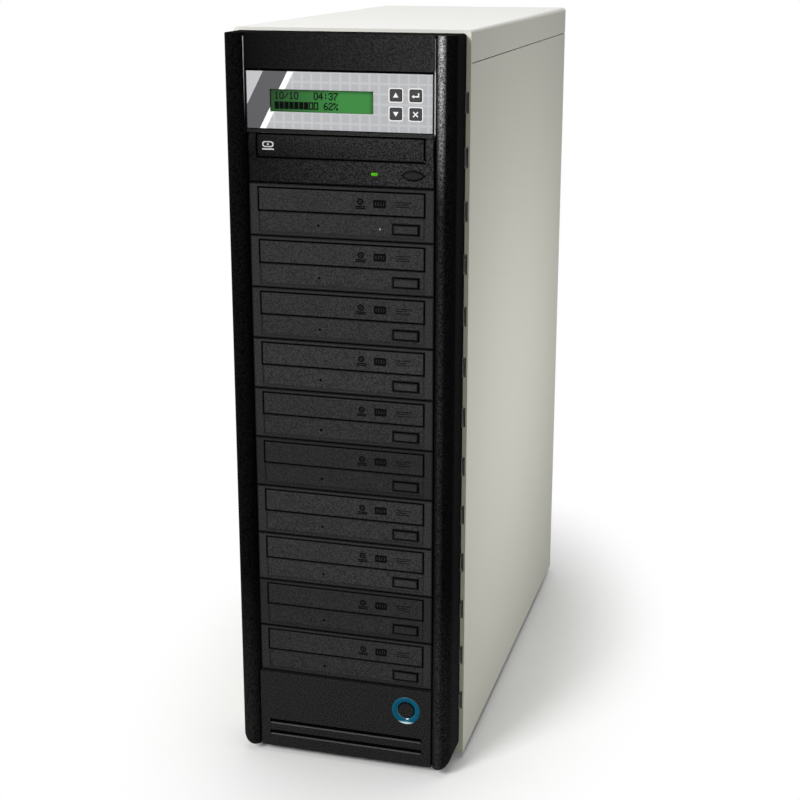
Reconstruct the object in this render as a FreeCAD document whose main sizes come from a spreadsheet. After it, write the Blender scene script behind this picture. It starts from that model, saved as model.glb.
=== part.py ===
import FreeCAD, Part
import math
import os
import types

import Sketcher

# Disc duplicator tower: a steel case with a reader, ten recorders, a control panel and a power panel.
# Millimetres. The front faces -Y, +X is the viewer's right, +Z is up and the floor is z = 0.

RECORDERS = 10
READER_BAY = RECORDERS
CONTROL_BAY = RECORDERS + 1
BAY_SLOTS = RECORDERS + 3
FAN_BLADES = 7
GRILLE_SLOTS = 11
DATA_PORTS = RECORDERS + 1
VENT_SLOTS = 9
NEAR = 0.01
PILLAR_OUTER_SHARE = 0.505
PILLAR_INNER_SHARE = 0.47
PILLAR_FOOT_SHARE = 0.9

SIZES = {
    # disc tray
    "disc_radius": 60.5,
    "disc_depth": 2.4,
    "disc_inset": 66.0,
    "tray_rim": 4.0,
    "tray_tail": 31.5,
    "tray_thickness": 7.0,
    "tray_lift": 2.2,
    "tray_corner": 6.0,
    "spindle_radius": 19.0,
    "pickup_length": 52.0,
    # tray door and drive bezel
    "door_overhang": 2.0,
    "door_margin": 7.8,
    "door_sill": 19.7,
    "door_head": 3.5,
    "door_gap": 0.8,
    "door_proud": 0.3,
    "door_edge": 0.6,
    "bezel_depth": 5.0,
    "bay_pitch": 41.5,
    "bay_gap": 0.9,
    "lower_field_depth": 0.35,
    "lower_field_foot": 2.6,
    # recorder controls
    "eject_width": 19.7,
    "eject_height": 6.8,
    "eject_right": 22.2,
    "eject_rise": 9.2,
    "eject_proud": 0.8,
    "eject_tail": 2.0,
    "eject_edge": 0.5,
    "eject_gap": 0.7,
    "lamp_width": 2.6,
    "lamp_height": 1.4,
    "lamp_right": 42.8,
    "lamp_rise": 8.8,
    "lamp_gap": 0.1,
    # reader door and controls
    "reader_bulge": 1.4,
    "reader_corner": 1.8,
    "finger_left": 82.5,
    "finger_width": 13.0,
    "finger_height": 1.2,
    "finger_depth": 1.5,
    "oval_width": 17.0,
    "oval_height": 6.9,
    "oval_right": 16.3,
    "oval_rise": 9.4,
    "reader_lamp_width": 5.6,
    "reader_lamp_height": 2.4,
    "reader_lamp_right": 47.1,
    # drive housing
    "bezel_overhang": 1.3,
    "housing_skin": 0.8,
    "housing_tail": 7.0,
    "runner_width": 10.0,
    "runner_thickness": 2.0,
    "socket_width": 42.0,
    "socket_height": 7.0,
    "socket_rise": 5.0,
    "socket_depth": 2.5,
    # steel case
    "sheet": 1.0,
    "fit_gap": 0.3,
    "drive_reach": 28.0,
    "wiring_space": 136.0,
    "cover_lip": 24.5,
    "cover_bend": 3.5,
    "seam_gap": 0.6,
    "rear_flange": 14.0,
    "frame_flange": 12.0,
    "base_flange": 16.0,
    "case_reveal": 3.5,
    "top_lip": 2.5,
    "slot_height": 16.5,
    "slot_width": 2.2,
    "cage_depth": 140.0,
    "cage_slot_length": 88.0,
    "cage_slot_height": 4.0,
    "cage_slot_front": 36.0,
    "cage_slot_rise": 8.0,
    "foot_height": 6.0,
    "foot_radius": 11.0,
    "foot_inset_side": 28.0,
    "foot_inset_end": 45.0,
    # pillars and moulded panels
    "pillar_gap": 0.9,
    "pillar_width": 16.3,
    "pillar_reach": 34.0,
    "pillar_wall": 2.5,
    "pillar_outer_round": 8.2,
    "pillar_inner_round": 7.6,
    "pillar_foot_round": 13.0,
    "pillar_head_round": 2.5,
    "notch_depth": 1.2,
    "notch_length": 3.0,
    "panel_reach": 31.0,
    "panel_wall": 2.5,
    "panel_edge": 1.0,
    "top_panel_height": 27.5,
    "power_panel_height": 70.0,
    "groove_height": 3.4,
    "groove_depth": 1.6,
    "groove_inset": 8.2,
    "groove_rise": 11.5,
    "groove_pitch": 10.4,
    # power button
    "power_right": 21.4,
    "power_drop": 20.3,
    "ring_radius": 11.75,
    "ring_bore": 6.7,
    "ring_proud": 0.8,
    "ring_depth": 8.0,
    "button_length": 10.0,
    # control panel
    "control_height": 44.5,
    "control_lap": 3.0,
    "control_reach": 30.5,
    "control_plate": 2.5,
    "control_tray_length": 130.0,
    "control_tray_wall": 1.6,
    "lcd_left": 19.7,
    "lcd_width": 82.0,
    "lcd_height": 17.0,
    "lcd_rise": 13.2,
    "lcd_recess": 1.5,
    "lcd_border": 3.0,
    "lcd_depth": 6.0,
    "key_width": 9.1,
    "key_height": 8.7,
    "key_left": 119.3,
    "key_rise": 14.2,
    "key_pitch_x": 15.3,
    "key_pitch_z": 13.7,
    "key_proud": 0.5,
    "key_round": 1.2,
    "key_flange": 1.0,
    "key_rim": 0.8,
    "key_play": 0.15,
    "key_room": 0.7,
    "board": 1.6,
    "board_side": 6.0,
    "board_margin": 5.0,
    "tact_width": 5.0,
    "main_board_width": 124.0,
    "main_board_length": 100.0,
    "main_board_inset": 20.0,
    "post_radius": 3.0,
    "post_height": 6.0,
    "port_width": 8.0,
    "port_height": 5.0,
    "port_length": 7.0,
    "port_pitch": 10.6,
    # power supply and inlet module
    "psu_width": 150.0,
    "psu_height": 86.0,
    "psu_depth": 140.0,
    "psu_edge": 6.0,
    "vent_width": 3.0,
    "vent_height": 48.0,
    "vent_pitch": 7.5,
    "vent_left": 14.0,
    "inlet_right": 32.0,
    "inlet_width": 26.0,
    "inlet_height": 55.0,
    "inlet_depth": 18.0,
    "inlet_flange": 2.0,
    "inlet_rim": 2.0,
    "socket_mouth_width": 24.0,
    "socket_mouth_height": 16.6,
    "socket_mouth_depth": 15.0,
    "socket_corner": 4.0,
    "inlet_offset": 14.0,
    "pin_width": 2.0,
    "pin_height": 4.0,
    "pin_pitch": 7.0,
    "pin_step": 3.0,
    "pin_sink": 5.5,
    # rocker switch
    "rocker_length": 19.2,
    "rocker_width": 13.4,
    "rocker_crest": 2.6,
    "rocker_rise": 1.7,
    "rocker_skirt": 1.2,
    "rocker_keel": 3.0,
    "rocker_tilt": 10.0,
    "rocker_play": 1.2,
    "pivot_radius": 1.5,
    "pivot_length": 1.6,
    "pivot_gap": 0.05,
    "switch_depth": 12.0,
    # case fans
    "fan_size": 120.0,
    "fan_depth": 25.0,
    "fan_corner": 5.0,
    "fan_bore": 57.5,
    "fan_tip_gap": 1.5,
    "fan_rise": 215.0,
    "fan_spacing": 200.0,
    "hub_radius": 20.0,
    "hub_setback": 2.0,
    "stator_radius": 19.0,
    "stator_depth": 6.0,
    "strut_width": 6.0,
    "strut_depth": 4.0,
    "shaft_radius": 1.5,
    "shaft_gap": 0.05,
    "rotor_gap": 0.5,
    "blade_thickness": 1.6,
    "blade_root_width": 21.0,
    "blade_tip_width": 36.0,
    "blade_pitch": 20.0,
    "blade_sink": 3.6,
    "grille_radius": 54.0,
    "grille_slot": 5.5,
    "grille_pitch": 9.2,
    # screws of the covers
    "screw_head": 4.0,
    "screw_radius": 5.0,
    "screw_low": 60.0,
    "screw_high": 60.0,
    "screw_side": 50.0,
}


class Size:
    """A length with its spreadsheet expression and its present value."""

    def __init__(self, text, value):
        self.text = text
        self.value = value

    def __add__(self, other):
        other = lift(other)
        return Size(f"({self.text} + {other.text})", self.value + other.value)

    def __sub__(self, other):
        other = lift(other)
        return Size(f"({self.text} - {other.text})", self.value - other.value)

    def __mul__(self, factor):
        factor = lift(factor)
        return Size(f"({self.text} * {factor.text})", self.value * factor.value)

    def __truediv__(self, divisor):
        return Size(f"({self.text} / {divisor})", self.value / divisor)

    def __neg__(self):
        return Size(f"(0 - {self.text})", -self.value)

    __rmul__ = __mul__


def lift(item):
    """A bare number becomes a Size, so both can be mixed."""
    return item if isinstance(item, Size) else Size(repr(float(item)), float(item))


def smaller(one, other):
    return Size(f"min({one.text}; {other.text})", min(one.value, other.value))


def squared_over(span, rise):
    """Radius of the arc that rises by rise over a chord of span."""
    text = f"(({span.text}) ^ 2 / 8 / {rise.text} + {rise.text} / 2)"
    return Size(text, span.value ** 2 / 8 / rise.value + rise.value / 2)


def chord(radius, offset):
    """Half the chord of a circle at an offset from its middle."""
    text = f"sqrt(({radius.text}) ^ 2 - ({offset.text}) ^ 2)"
    return Size(text, math.sqrt(radius.value ** 2 - offset.value ** 2))


doc = FreeCAD.newDocument("disc_duplicator_tower")
sheet = doc.addObject("Spreadsheet::Sheet", "dims")
for row, (alias, number) in enumerate(SIZES.items(), start=1):
    sheet.set(f"A{row}", alias)
    sheet.set(f"B{row}", str(number))
    sheet.setAlias(f"B{row}", alias)
doc.recompute()
d = types.SimpleNamespace(**{alias: Size(f"dims.{alias}", sheet.get(alias)) for alias in SIZES})

nodes = []


# Helpers that draw, bind and combine

def bind(item, prop, size):
    item.setExpression(prop, lift(size).text)


def node(item, name):
    item.Label = name
    nodes.append(item)
    return item


def body(name):
    return doc.addObject("PartDesign::Body", name)


def place(item, x=0, y=0, z=0):
    for axis, size in zip("xyz", (x, y, z)):
        bind(item, f"Placement.Base.{axis}", size)
    return item


def origin(part, role):
    return next(item for item in part.Origin.OriginFeatures if item.Role == role)


def pin(sketch, geometry, point, spot):
    """Holds a sketch point at a pair of sizes measured from the sketch's origin."""
    for kind, size in zip(("DistanceX", "DistanceY"), spot):
        size = lift(size)
        index = sketch.addConstraint(Sketcher.Constraint(kind, -1, 1, geometry, point, size.value))
        bind(sketch, f"Constraints[{index}]", size)


def polygon(*corners):
    def draw(sketch):
        first = sketch.GeometryCount
        count = len(corners)
        spots = [FreeCAD.Vector(lift(u).value, lift(v).value, 0) for u, v in corners]
        for index in range(count):
            sketch.addGeometry(Part.LineSegment(spots[index], spots[(index + 1) % count]))
        for index in range(count):
            joint = (first + index, 2, first + (index + 1) % count, 1)
            sketch.addConstraint(Sketcher.Constraint("Coincident", *joint))
            pin(sketch, first + index, 1, corners[index])
    return draw


def rect(u, v):
    """Rectangle from two (low, high) pairs."""
    return polygon((u[0], v[0]), (u[1], v[0]), (u[1], v[1]), (u[0], v[1]))


def circle(u, v, radius):
    def draw(sketch):
        radius_now = lift(radius).value
        middle = FreeCAD.Vector(lift(u).value, lift(v).value, 0)
        ring = sketch.addGeometry(Part.Circle(middle, FreeCAD.Vector(0, 0, 1), radius_now))
        pin(sketch, ring, 3, (u, v))
        index = sketch.addConstraint(Sketcher.Constraint("Radius", ring, radius_now))
        bind(sketch, f"Constraints[{index}]", radius)
    return draw


def outline(part, plane, level, *loops):
    """Sketch on one of the body's own planes, moved to a level along that plane's world axis."""
    sketch = part.newObject("Sketcher::SketchObject", f"{part.Name}_outline")
    sketch.AttachmentSupport = [(origin(part, f"{plane}_Plane"), "")]
    sketch.MapMode = "FlatFace"
    bind(sketch, "AttachmentOffset.Base.z", -lift(level) if plane == "XZ" else level)
    for draw in loops:
        draw(sketch)
    return sketch


def pad(part, plane, start, end, *loops):
    feature = part.newObject("PartDesign::Pad", f"{part.Name}_pad")
    feature.Profile = outline(part, plane, start, *loops)
    feature.Reversed = plane == "XZ"
    bind(feature, "Length", lift(end) - start)
    part.Tip = feature
    return feature


def pocket(part, plane, start, end, *loops):
    feature = part.newObject("PartDesign::Pocket", f"{part.Name}_pocket")
    feature.Profile = outline(part, plane, start, *loops)
    feature.Reversed = plane != "XZ"
    bind(feature, "Length", lift(end) - start)
    part.Tip = feature
    return feature


def revolve(part, plane, axis, *loops):
    feature = part.newObject("PartDesign::Revolution", f"{part.Name}_turn")
    feature.Profile = outline(part, plane, 0, *loops)
    feature.ReferenceAxis = (origin(part, axis), [""])
    feature.Angle = 360
    part.Tip = feature
    return feature


def edges(shape, along, **spots):
    """Names of the straight edges along an axis whose middle lies at one of the given places."""
    names = []
    for index, edge in enumerate(shape.Edges, start=1):
        if edge.Curve.TypeId != "Part::GeomLine" or abs(getattr(edge.Curve.Direction, along)) < 1 - NEAR:
            continue
        middle = edge.CenterOfMass
        gaps = []
        for axis, row in spots.items():
            gaps.append(min(abs(getattr(middle, axis) - lift(spot).value) for spot in row))
        if max(gaps) < NEAR:
            names.append(f"Edge{index}")
    return names


def soften(part, kind, size, along, **spots):
    """Fillet or Chamfer on the straight edges found by edges()."""
    doc.recompute()
    base = part.Tip
    feature = part.newObject(f"PartDesign::{kind}", f"{part.Name}_{kind.lower()}")
    feature.Base = (base, edges(base.Shape, along, **spots))
    bind(feature, "Radius" if kind == "Fillet" else "Size", size)
    part.Tip = feature
    return feature


def repeat(part, feature, axis, spacing, count):
    pattern = part.newObject("PartDesign::LinearPattern", f"{part.Name}_row")
    pattern.Originals = [feature]
    pattern.Direction = (origin(part, axis), [""])
    pattern.Mode = "Spacing"
    bind(pattern, "Offset", spacing)
    pattern.Occurrences = count
    part.Tip = pattern
    return pattern


def rod(name, middle, along, radius):
    """Cylinder along Y: middle is (x, z) and along is (low, high)."""
    solid = doc.addObject("Part::Cylinder", name)
    solid.Placement.Rotation = FreeCAD.Rotation(FreeCAD.Vector(1, 0, 0), -90)
    place(solid, middle[0], along[0], middle[1])
    bind(solid, "Radius", radius)
    bind(solid, "Height", lift(along[1]) - along[0])
    return solid


def combine(kind, name, base, tool):
    solid = doc.addObject(f"Part::{kind}", name)
    solid.Base = base
    solid.Tool = tool
    return solid


def group(name, solids):
    result = doc.addObject("Part::Compound", name)
    result.Links = solids
    return result


def both(size):
    return (-lift(size), lift(size))


# Places worked out from the driving sizes, from the disc outwards

tray_half = d.disc_radius + d.tray_rim
door_half = tray_half + d.door_overhang
bezel_half = door_half + d.door_margin
housing_half = bezel_half - d.bezel_overhang
cage_half = housing_half + d.fit_gap
pillar_in = bezel_half + d.pillar_gap
pillar_out = pillar_in + d.pillar_width
panel_half = pillar_in - d.fit_gap
case_half = pillar_out + d.case_reveal
panel_inside = case_half - d.sheet

tray_length = d.disc_inset + d.disc_radius + d.tray_tail
housing_length = tray_length + d.housing_tail
drive_in_case = housing_length - d.drive_reach + d.bezel_depth
case_depth = drive_in_case + d.wiring_space + d.psu_depth + d.sheet * 2
front = (d.pillar_reach - case_depth - d.screw_head) / 2
back = front + case_depth
psu_face = back - d.sheet * 2
drive_face = front - d.drive_reach
reader_crown = drive_face - d.reader_bulge
bezel_back = drive_face + d.bezel_depth

bezel_height = d.bay_pitch - d.bay_gap
door_height = bezel_height - d.door_sill - d.door_head
tray_floor = d.door_sill + d.tray_lift
tray_top = tray_floor + d.tray_thickness
case_floor = d.foot_height + d.sheet
first_bay = d.foot_height + d.power_panel_height
control_floor = first_bay + d.bay_pitch * CONTROL_BAY
brow_floor = control_floor + d.control_height
brow = brow_floor + d.top_panel_height
case_top = brow + d.top_lip
side_top = case_top - d.cover_lip - d.seam_gap


def bay(index):
    return first_bay + d.bay_pitch * index


# Steel case

def slot_rise(index):
    return bay(index) + (d.bay_pitch - d.slot_height) / 2


def front_frame():
    part = body("front_frame")
    pad(part, "XZ", front, front + d.sheet, rect(both(case_half), (d.foot_height, case_top)))
    soften(part, "Fillet", d.cover_bend, "y", x=both(case_half), z=(case_top,))
    flange = (panel_inside - d.sheet, panel_inside)
    mirrored = (-panel_inside, d.sheet - panel_inside)
    height = (d.foot_height, case_top - d.cover_bend)
    pad(part, "XZ", front, front + d.frame_flange, rect(flange, height), rect(mirrored, height))
    pocket(part, "XZ", front, front + d.sheet, rect(both(cage_half), (bay(0), brow_floor)))
    rise = (slot_rise(-1), slot_rise(-1) + d.slot_height)
    reach = (pillar_out - d.notch_depth, pillar_out + d.slot_width)
    slots = [rect(reach, rise), rect((-reach[1], -reach[0]), rise)]
    first = pocket(part, "XZ", front, front + d.sheet, *slots)
    repeat(part, first, "Z_Axis", d.bay_pitch, BAY_SLOTS)
    return node(part, "front_frame")


def base_pan():
    part = body("base_pan")
    inside = panel_inside - d.sheet
    floor = d.foot_height
    pad(part, "XZ", front + d.sheet, back - d.sheet, rect(both(inside), (floor, case_floor)))
    wall = (floor, floor + d.base_flange)
    sides = [rect((inside, panel_inside), wall), rect((-panel_inside, -inside), wall)]
    pad(part, "XZ", front + d.frame_flange, psu_face, *sides)
    return node(part, "base_pan")


def fan_height(index):
    return d.foot_height + d.fan_rise + d.fan_spacing * index


def fan_grille(index):
    """Upright slots punched over one fan, each as tall as the fan's circle there."""
    slots = []
    for column in range(GRILLE_SLOTS):
        x = d.grille_pitch * (column - (GRILLE_SLOTS - 1) / 2)
        half = chord(d.grille_radius, x)
        middle = fan_height(index)
        slots.append(rect((x - d.grille_slot / 2, x + d.grille_slot / 2), (middle - half, middle + half)))
    return slots


def rear_panel():
    part = body("rear_panel")
    rise = (case_floor, case_top - d.sheet)
    pad(part, "XZ", psu_face, back - d.sheet, rect(both(panel_inside), rise))
    soften(part, "Fillet", d.cover_bend - d.sheet, "y", x=both(panel_inside), z=(rise[1],))
    window = (case_floor + d.psu_edge, case_floor + d.psu_height - d.psu_edge)
    opening = rect(both(d.psu_width / 2 - d.psu_edge), window)
    pocket(part, "XZ", psu_face, back - d.sheet, opening, *fan_grille(0), *fan_grille(1))
    return node(part, "rear_panel")


def top_cover():
    part = body("top_cover")
    lip = case_top - d.cover_lip
    under = case_top - d.sheet
    bent = polygon(
        (-case_half, lip), (-case_half, case_top), (case_half, case_top), (case_half, lip),
        (panel_inside, lip), (panel_inside, under), (-panel_inside, under), (-panel_inside, lip))
    pad(part, "XZ", front + d.sheet, back, bent)
    soften(part, "Fillet", d.cover_bend, "y", x=both(case_half), z=(case_top,))
    soften(part, "Fillet", d.cover_bend - d.sheet, "y", x=both(panel_inside), z=(under,))
    flange = rect(both(case_half - d.cover_bend), (case_top - d.rear_flange, under))
    pad(part, "XZ", back - d.sheet, back, flange)
    return node(part, "top_cover")


def side_panel(name, sign):
    part = body(name)
    outer = case_half * sign
    inner = panel_inside * sign
    turned = (case_half - d.rear_flange) * sign
    bent = polygon(
        (outer, front + d.sheet), (outer, back), (turned, back),
        (turned, back - d.sheet), (inner, back - d.sheet), (inner, front + d.sheet))
    pad(part, "XY", d.foot_height, side_top, bent)
    soften(part, "Fillet", d.sheet, "z", x=(outer,), y=(back,))
    return node(part, name)


def cage_wall(name, sign):
    part = body(name)
    inner = cage_half * sign
    outer = (cage_half + d.sheet) * sign
    turned = (panel_inside - d.sheet - d.fit_gap) * sign
    start = front + d.sheet
    bent = polygon(
        (inner, start), (inner, start + d.cage_depth), (outer, start + d.cage_depth),
        (outer, start + d.sheet), (turned, start + d.sheet), (turned, start))
    pad(part, "XY", case_floor, brow_floor, bent)
    wall = (cage_half, cage_half + d.sheet) if sign > 0 else (-cage_half - d.sheet, -cage_half)
    rise = (bay(0) + d.cage_slot_rise, bay(0) + d.cage_slot_rise + d.cage_slot_height)
    near = front + d.cage_slot_front
    slot = rect((near, near + d.cage_slot_length), rise)
    first = pocket(part, "YZ", wall[0], wall[1], slot)
    repeat(part, first, "Z_Axis", d.bay_pitch, CONTROL_BAY + 1)
    return node(part, name)


def rubber_feet():
    feet = []
    for side in (-1, 1):
        for end in (front + d.foot_inset_end, back - d.foot_inset_end):
            foot = doc.addObject("Part::Cylinder", "foot")
            bind(foot, "Radius", d.foot_radius)
            bind(foot, "Height", d.foot_height)
            feet.append(place(foot, (case_half - d.foot_inset_side) * side, end, 0))
    return node(group("rubber_feet", feet), "rubber_feet")


def screw_spots():
    """Places of the screws on the rear: four on the side panels and two on the cover."""
    side = case_half - d.rear_flange / 2
    low = d.foot_height + d.screw_low
    high = side_top - d.screw_high
    lid = case_top - d.rear_flange / 2
    corners = [(side, low), (-side, low), (side, high), (-side, high)]
    return corners + [(d.screw_side, lid), (-d.screw_side, lid)]


def cover_screws():
    """Hexagon heads that hold the cover and the side panels to the rear."""
    screws = []
    for x, z in screw_spots():
        screw = doc.addObject("Part::Prism", "screw")
        screw.Polygon = 6
        screw.Placement.Rotation = FreeCAD.Rotation(FreeCAD.Vector(1, 0, 0), -90)
        bind(screw, "Circumradius", d.screw_radius)
        bind(screw, "Height", d.screw_head)
        screws.append(place(screw, x, back, z))
    return node(group("cover_screws", screws), "cover_screws")


# Pillars and moulded panels

def pillar(name, sign):
    """A round-cornered hollow column, shaped in plan and again in front view."""
    plan = body(f"{name}_plan")
    crest = front - d.pillar_reach
    inner = pillar_in * sign
    outer = pillar_out * sign
    height = (d.foot_height, brow)
    pad(plan, "XY", *height, polygon((inner, front), (inner, crest), (outer, crest), (outer, front)))
    outer_round = smaller(d.pillar_outer_round, d.pillar_width * PILLAR_OUTER_SHARE)
    soften(plan, "Fillet", outer_round, "z", x=(outer,), y=(crest,))
    inner_round = smaller(d.pillar_inner_round, d.pillar_width * PILLAR_INNER_SHARE)
    soften(plan, "Fillet", inner_round, "z", x=(inner,), y=(crest,))
    wall = d.pillar_wall
    hollow = polygon(
        (inner + wall * sign, front), (inner + wall * sign, crest + inner_round),
        (inner + inner_round * sign, crest + wall), (outer - outer_round * sign, crest + wall),
        (outer - wall * sign, crest + outer_round), (outer - wall * sign, front))
    pocket(plan, "XY", d.foot_height + d.pillar_foot_round, brow - d.pillar_head_round, hollow)
    notch = sorted(((pillar_out - d.notch_depth) * sign, outer), key=lambda size: size.value)
    rise = (slot_rise(-1), slot_rise(-1) + d.slot_height)
    first = pocket(plan, "YZ", *notch, rect((front - d.notch_length, front), rise))
    repeat(plan, first, "Z_Axis", d.bay_pitch, BAY_SLOTS)
    face = body(f"{name}_face")
    low, high = sorted((inner, outer), key=lambda size: size.value)
    pad(face, "XZ", crest, front, rect((low, high), height))
    foot_round = smaller(d.pillar_foot_round, d.pillar_width * PILLAR_FOOT_SHARE)
    soften(face, "Fillet", foot_round, "y", x=(outer,), z=(height[0],))
    soften(face, "Fillet", d.pillar_head_round, "y", x=(outer,), z=(height[1],))
    return node(combine("Common", name, plan, face), name)


def moulded_panel(name, floor, top):
    """Panel between the pillars: a tray of one wall, open to the case."""
    part = body(name)
    face = front - d.panel_reach
    pad(part, "XZ", face, front, rect(both(panel_half), (floor, top)))
    soften(part, "Fillet", d.panel_edge, "z", x=both(panel_half), y=(face,))
    inside = rect(both(panel_half - d.panel_wall), (floor + d.panel_wall, top - d.panel_wall))
    pocket(part, "XZ", face + d.panel_wall, front, inside)
    return part


def top_panel():
    return node(moulded_panel("top_panel", brow_floor + d.bay_gap, brow), "top_panel")


def power_spot():
    return panel_half - d.power_right, first_bay - d.power_drop


def power_panel():
    part = moulded_panel("power_panel", d.foot_height, first_bay - d.bay_gap)
    face = front - d.panel_reach
    low = d.foot_height + d.groove_rise
    groove = rect(both(panel_half - d.groove_inset), (low, low + d.groove_height))
    first = pocket(part, "XZ", face, face + d.groove_depth, groove)
    repeat(part, first, "Z_Axis", d.groove_pitch, 2)
    x, z = power_spot()
    pocket(part, "XZ", face, face + d.panel_wall, circle(x, z, d.ring_radius + d.lamp_gap))
    return node(part, "power_panel")


def power_ring():
    """Ring whose bore guides the button."""
    part = body("power_ring")
    x, z = power_spot()
    face = front - d.panel_reach
    rings = [circle(x, z, d.ring_radius), circle(x, z, d.ring_bore)]
    pad(part, "XZ", face - d.ring_proud, face + d.ring_depth, *rings)
    return node(part, "power_ring")


def power_button():
    face = front - d.panel_reach
    button = rod("power_button", power_spot(), (face, face + d.button_length), d.ring_bore - d.fit_gap)
    return node(button, "power_button")


# Control panel

control_face = front - d.control_reach
plate_back = control_face + d.control_plate
lcd_start = d.lcd_left - bezel_half
lcd_span = (lcd_start, lcd_start + d.lcd_width)
lcd_rows = (d.lcd_rise, d.lcd_rise + d.lcd_height)
board_front = plate_back + d.lcd_depth
tray_plate = (d.board, d.board + d.control_tray_wall)


def key_spot(column, row):
    return d.key_left - bezel_half + d.key_pitch_x * column, d.key_rise + d.key_pitch_z * row


def key_outline(column, row, margin):
    x, z = key_spot(column, row)
    half_width = d.key_width / 2 + margin
    half_height = d.key_height / 2 + margin
    return rect((x - half_width, x + half_width), (z - half_height, z + half_height))


def posts():
    side = d.main_board_width / 2 - d.post_radius
    near = plate_back + d.main_board_inset + d.post_radius
    far = plate_back + d.main_board_inset + d.main_board_length - d.post_radius
    half = d.post_radius
    return [rect((x - half, x + half), (y - half, y + half)) for x in both(side) for y in (near, far)]


def control_panel():
    """Front plate with its window and key holes, lapping the reader, on a U-shaped tray for the boards."""
    part = body("control_panel")
    rise = (-d.control_lap, d.control_height - d.bay_gap)
    pad(part, "XZ", control_face, plate_back, rect(both(bezel_half), rise))
    soften(part, "Fillet", d.panel_edge, "z", x=both(bezel_half), y=(control_face,))
    wall = d.control_tray_wall
    top = d.control_height - d.board_margin
    tray = polygon(
        (-housing_half, tray_plate[0]), (housing_half, tray_plate[0]), (housing_half, top),
        (housing_half - wall, top), (housing_half - wall, tray_plate[1]),
        (wall - housing_half, tray_plate[1]), (wall - housing_half, top), (-housing_half, top))
    pad(part, "XZ", plate_back, plate_back + d.control_tray_length, tray)
    pad(part, "XY", tray_plate[1], tray_plate[1] + d.post_height, *posts())
    keys = [key_outline(column, row, d.fit_gap) for column in range(2) for row in range(2)]
    pocket(part, "XZ", control_face, plate_back, rect(lcd_span, lcd_rows), *keys)
    place(part, z=control_floor)
    return node(part, "control_panel")


def lcd_module():
    part = body("lcd_module")
    edge = d.lcd_border
    frame = rect((lcd_span[0] - edge, lcd_span[1] + edge), (lcd_rows[0] - edge, lcd_rows[1] + edge))
    pad(part, "XZ", plate_back, board_front, frame)
    gap = d.fit_gap
    glass = rect((lcd_span[0] + gap, lcd_span[1] - gap), (lcd_rows[0] + gap, lcd_rows[1] - gap))
    pad(part, "XZ", control_face + d.lcd_recess, plate_back, glass)
    place(part, z=control_floor)
    return node(part, "lcd_module")


def control_boards():
    """Keypad board with four switches, and the main board with its row of data ports."""
    keypad = body("keypad_board")
    side = bezel_half - d.board_side
    rise = (tray_plate[1] + d.board_margin, d.control_height - d.board_margin)
    pad(keypad, "XZ", board_front, board_front + d.board, rect(both(side), rise))
    half = d.tact_width / 2
    spots = [key_spot(column, row) for column in range(2) for row in range(2)]
    tacts = [rect((x - half, x + half), (z - half, z + half)) for x, z in spots]
    pad(keypad, "XZ", plate_back + d.key_play + d.key_flange + d.key_room, board_front, *tacts)
    main = body("main_board")
    level = tray_plate[1] + d.post_height
    start = plate_back + d.main_board_inset
    end = start + d.main_board_length
    pad(main, "XY", level, level + d.board, rect(both(d.main_board_width / 2), (start, end)))
    left = -d.port_pitch * (DATA_PORTS - 1) / 2 - d.port_width / 2
    port = rect((left, left + d.port_width), (end - d.port_length, end))
    first = pad(main, "XY", level + d.board, level + d.board + d.port_height, port)
    repeat(main, first, "X_Axis", d.port_pitch, DATA_PORTS)
    boards = [place(board, z=control_floor) for board in (keypad, main)]
    return node(group("control_boards", boards), "control_boards")


def key(name, column, row):
    """Square key cap with the flange that holds it behind the plate."""
    part = body(name)
    flange = plate_back + d.key_play
    x, z = key_spot(column, row)
    pad(part, "XZ", control_face - d.key_proud, flange, key_outline(column, row, 0))
    sides = (x - d.key_width / 2, x + d.key_width / 2)
    ends = (z - d.key_height / 2, z + d.key_height / 2)
    soften(part, "Fillet", d.key_round, "y", x=sides, z=ends)
    pad(part, "XZ", flange, flange + d.key_flange, key_outline(column, row, d.key_rim))
    place(part, z=control_floor)
    return node(part, name)


# Drives

def bezel_blank(name, index):
    """Drive bezel with its tray opening, drawn from the bottom of its bay."""
    part = body(name)
    pad(part, "XZ", drive_face, bezel_back, rect(both(bezel_half), (0, bezel_height)))
    opening = (d.door_sill - d.door_gap, d.door_sill + door_height + d.door_gap)
    pocket(part, "XZ", drive_face, bezel_back, rect(both(door_half + d.door_gap), opening))
    return place(part, z=bay(index))


def eject_span(margin):
    middle = bezel_half - d.eject_right
    rise = d.eject_rise
    half_width = d.eject_width / 2 + margin
    half_height = d.eject_height / 2 + margin
    return (middle - half_width, middle + half_width), (rise - half_height, rise + half_height)


def lamp_span(right, rise, width, height, margin):
    middle = bezel_half - right
    half_width = width / 2 + margin
    half_height = height / 2 + margin
    return (middle - half_width, middle + half_width), (rise - half_height, rise + half_height)


def recorder_lamp_span(margin):
    return lamp_span(d.lamp_right, d.lamp_rise, d.lamp_width, d.lamp_height, margin)


def reader_lamp_span(margin):
    size = (d.reader_lamp_width, d.reader_lamp_height)
    return lamp_span(d.reader_lamp_right, d.oval_rise, *size, margin)


def recorder_bezels():
    bezels = []
    for index in range(RECORDERS):
        part = bezel_blank("recorder_bezel", index)
        field = rect(both(door_half), (d.lower_field_foot, d.door_sill - d.door_gap))
        pocket(part, "XZ", drive_face, drive_face + d.lower_field_depth, field)
        holes = [rect(*eject_span(d.eject_gap)), rect(*recorder_lamp_span(d.lamp_gap))]
        pocket(part, "XZ", drive_face, bezel_back, *holes)
        bezels.append(part)
    return node(group("recorder_bezels", bezels), "recorder_bezels")


def lamp(name, span, index, depth):
    part = body(name)
    pad(part, "XZ", drive_face + depth, bezel_back, rect(*span))
    return place(part, z=bay(index))


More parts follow.
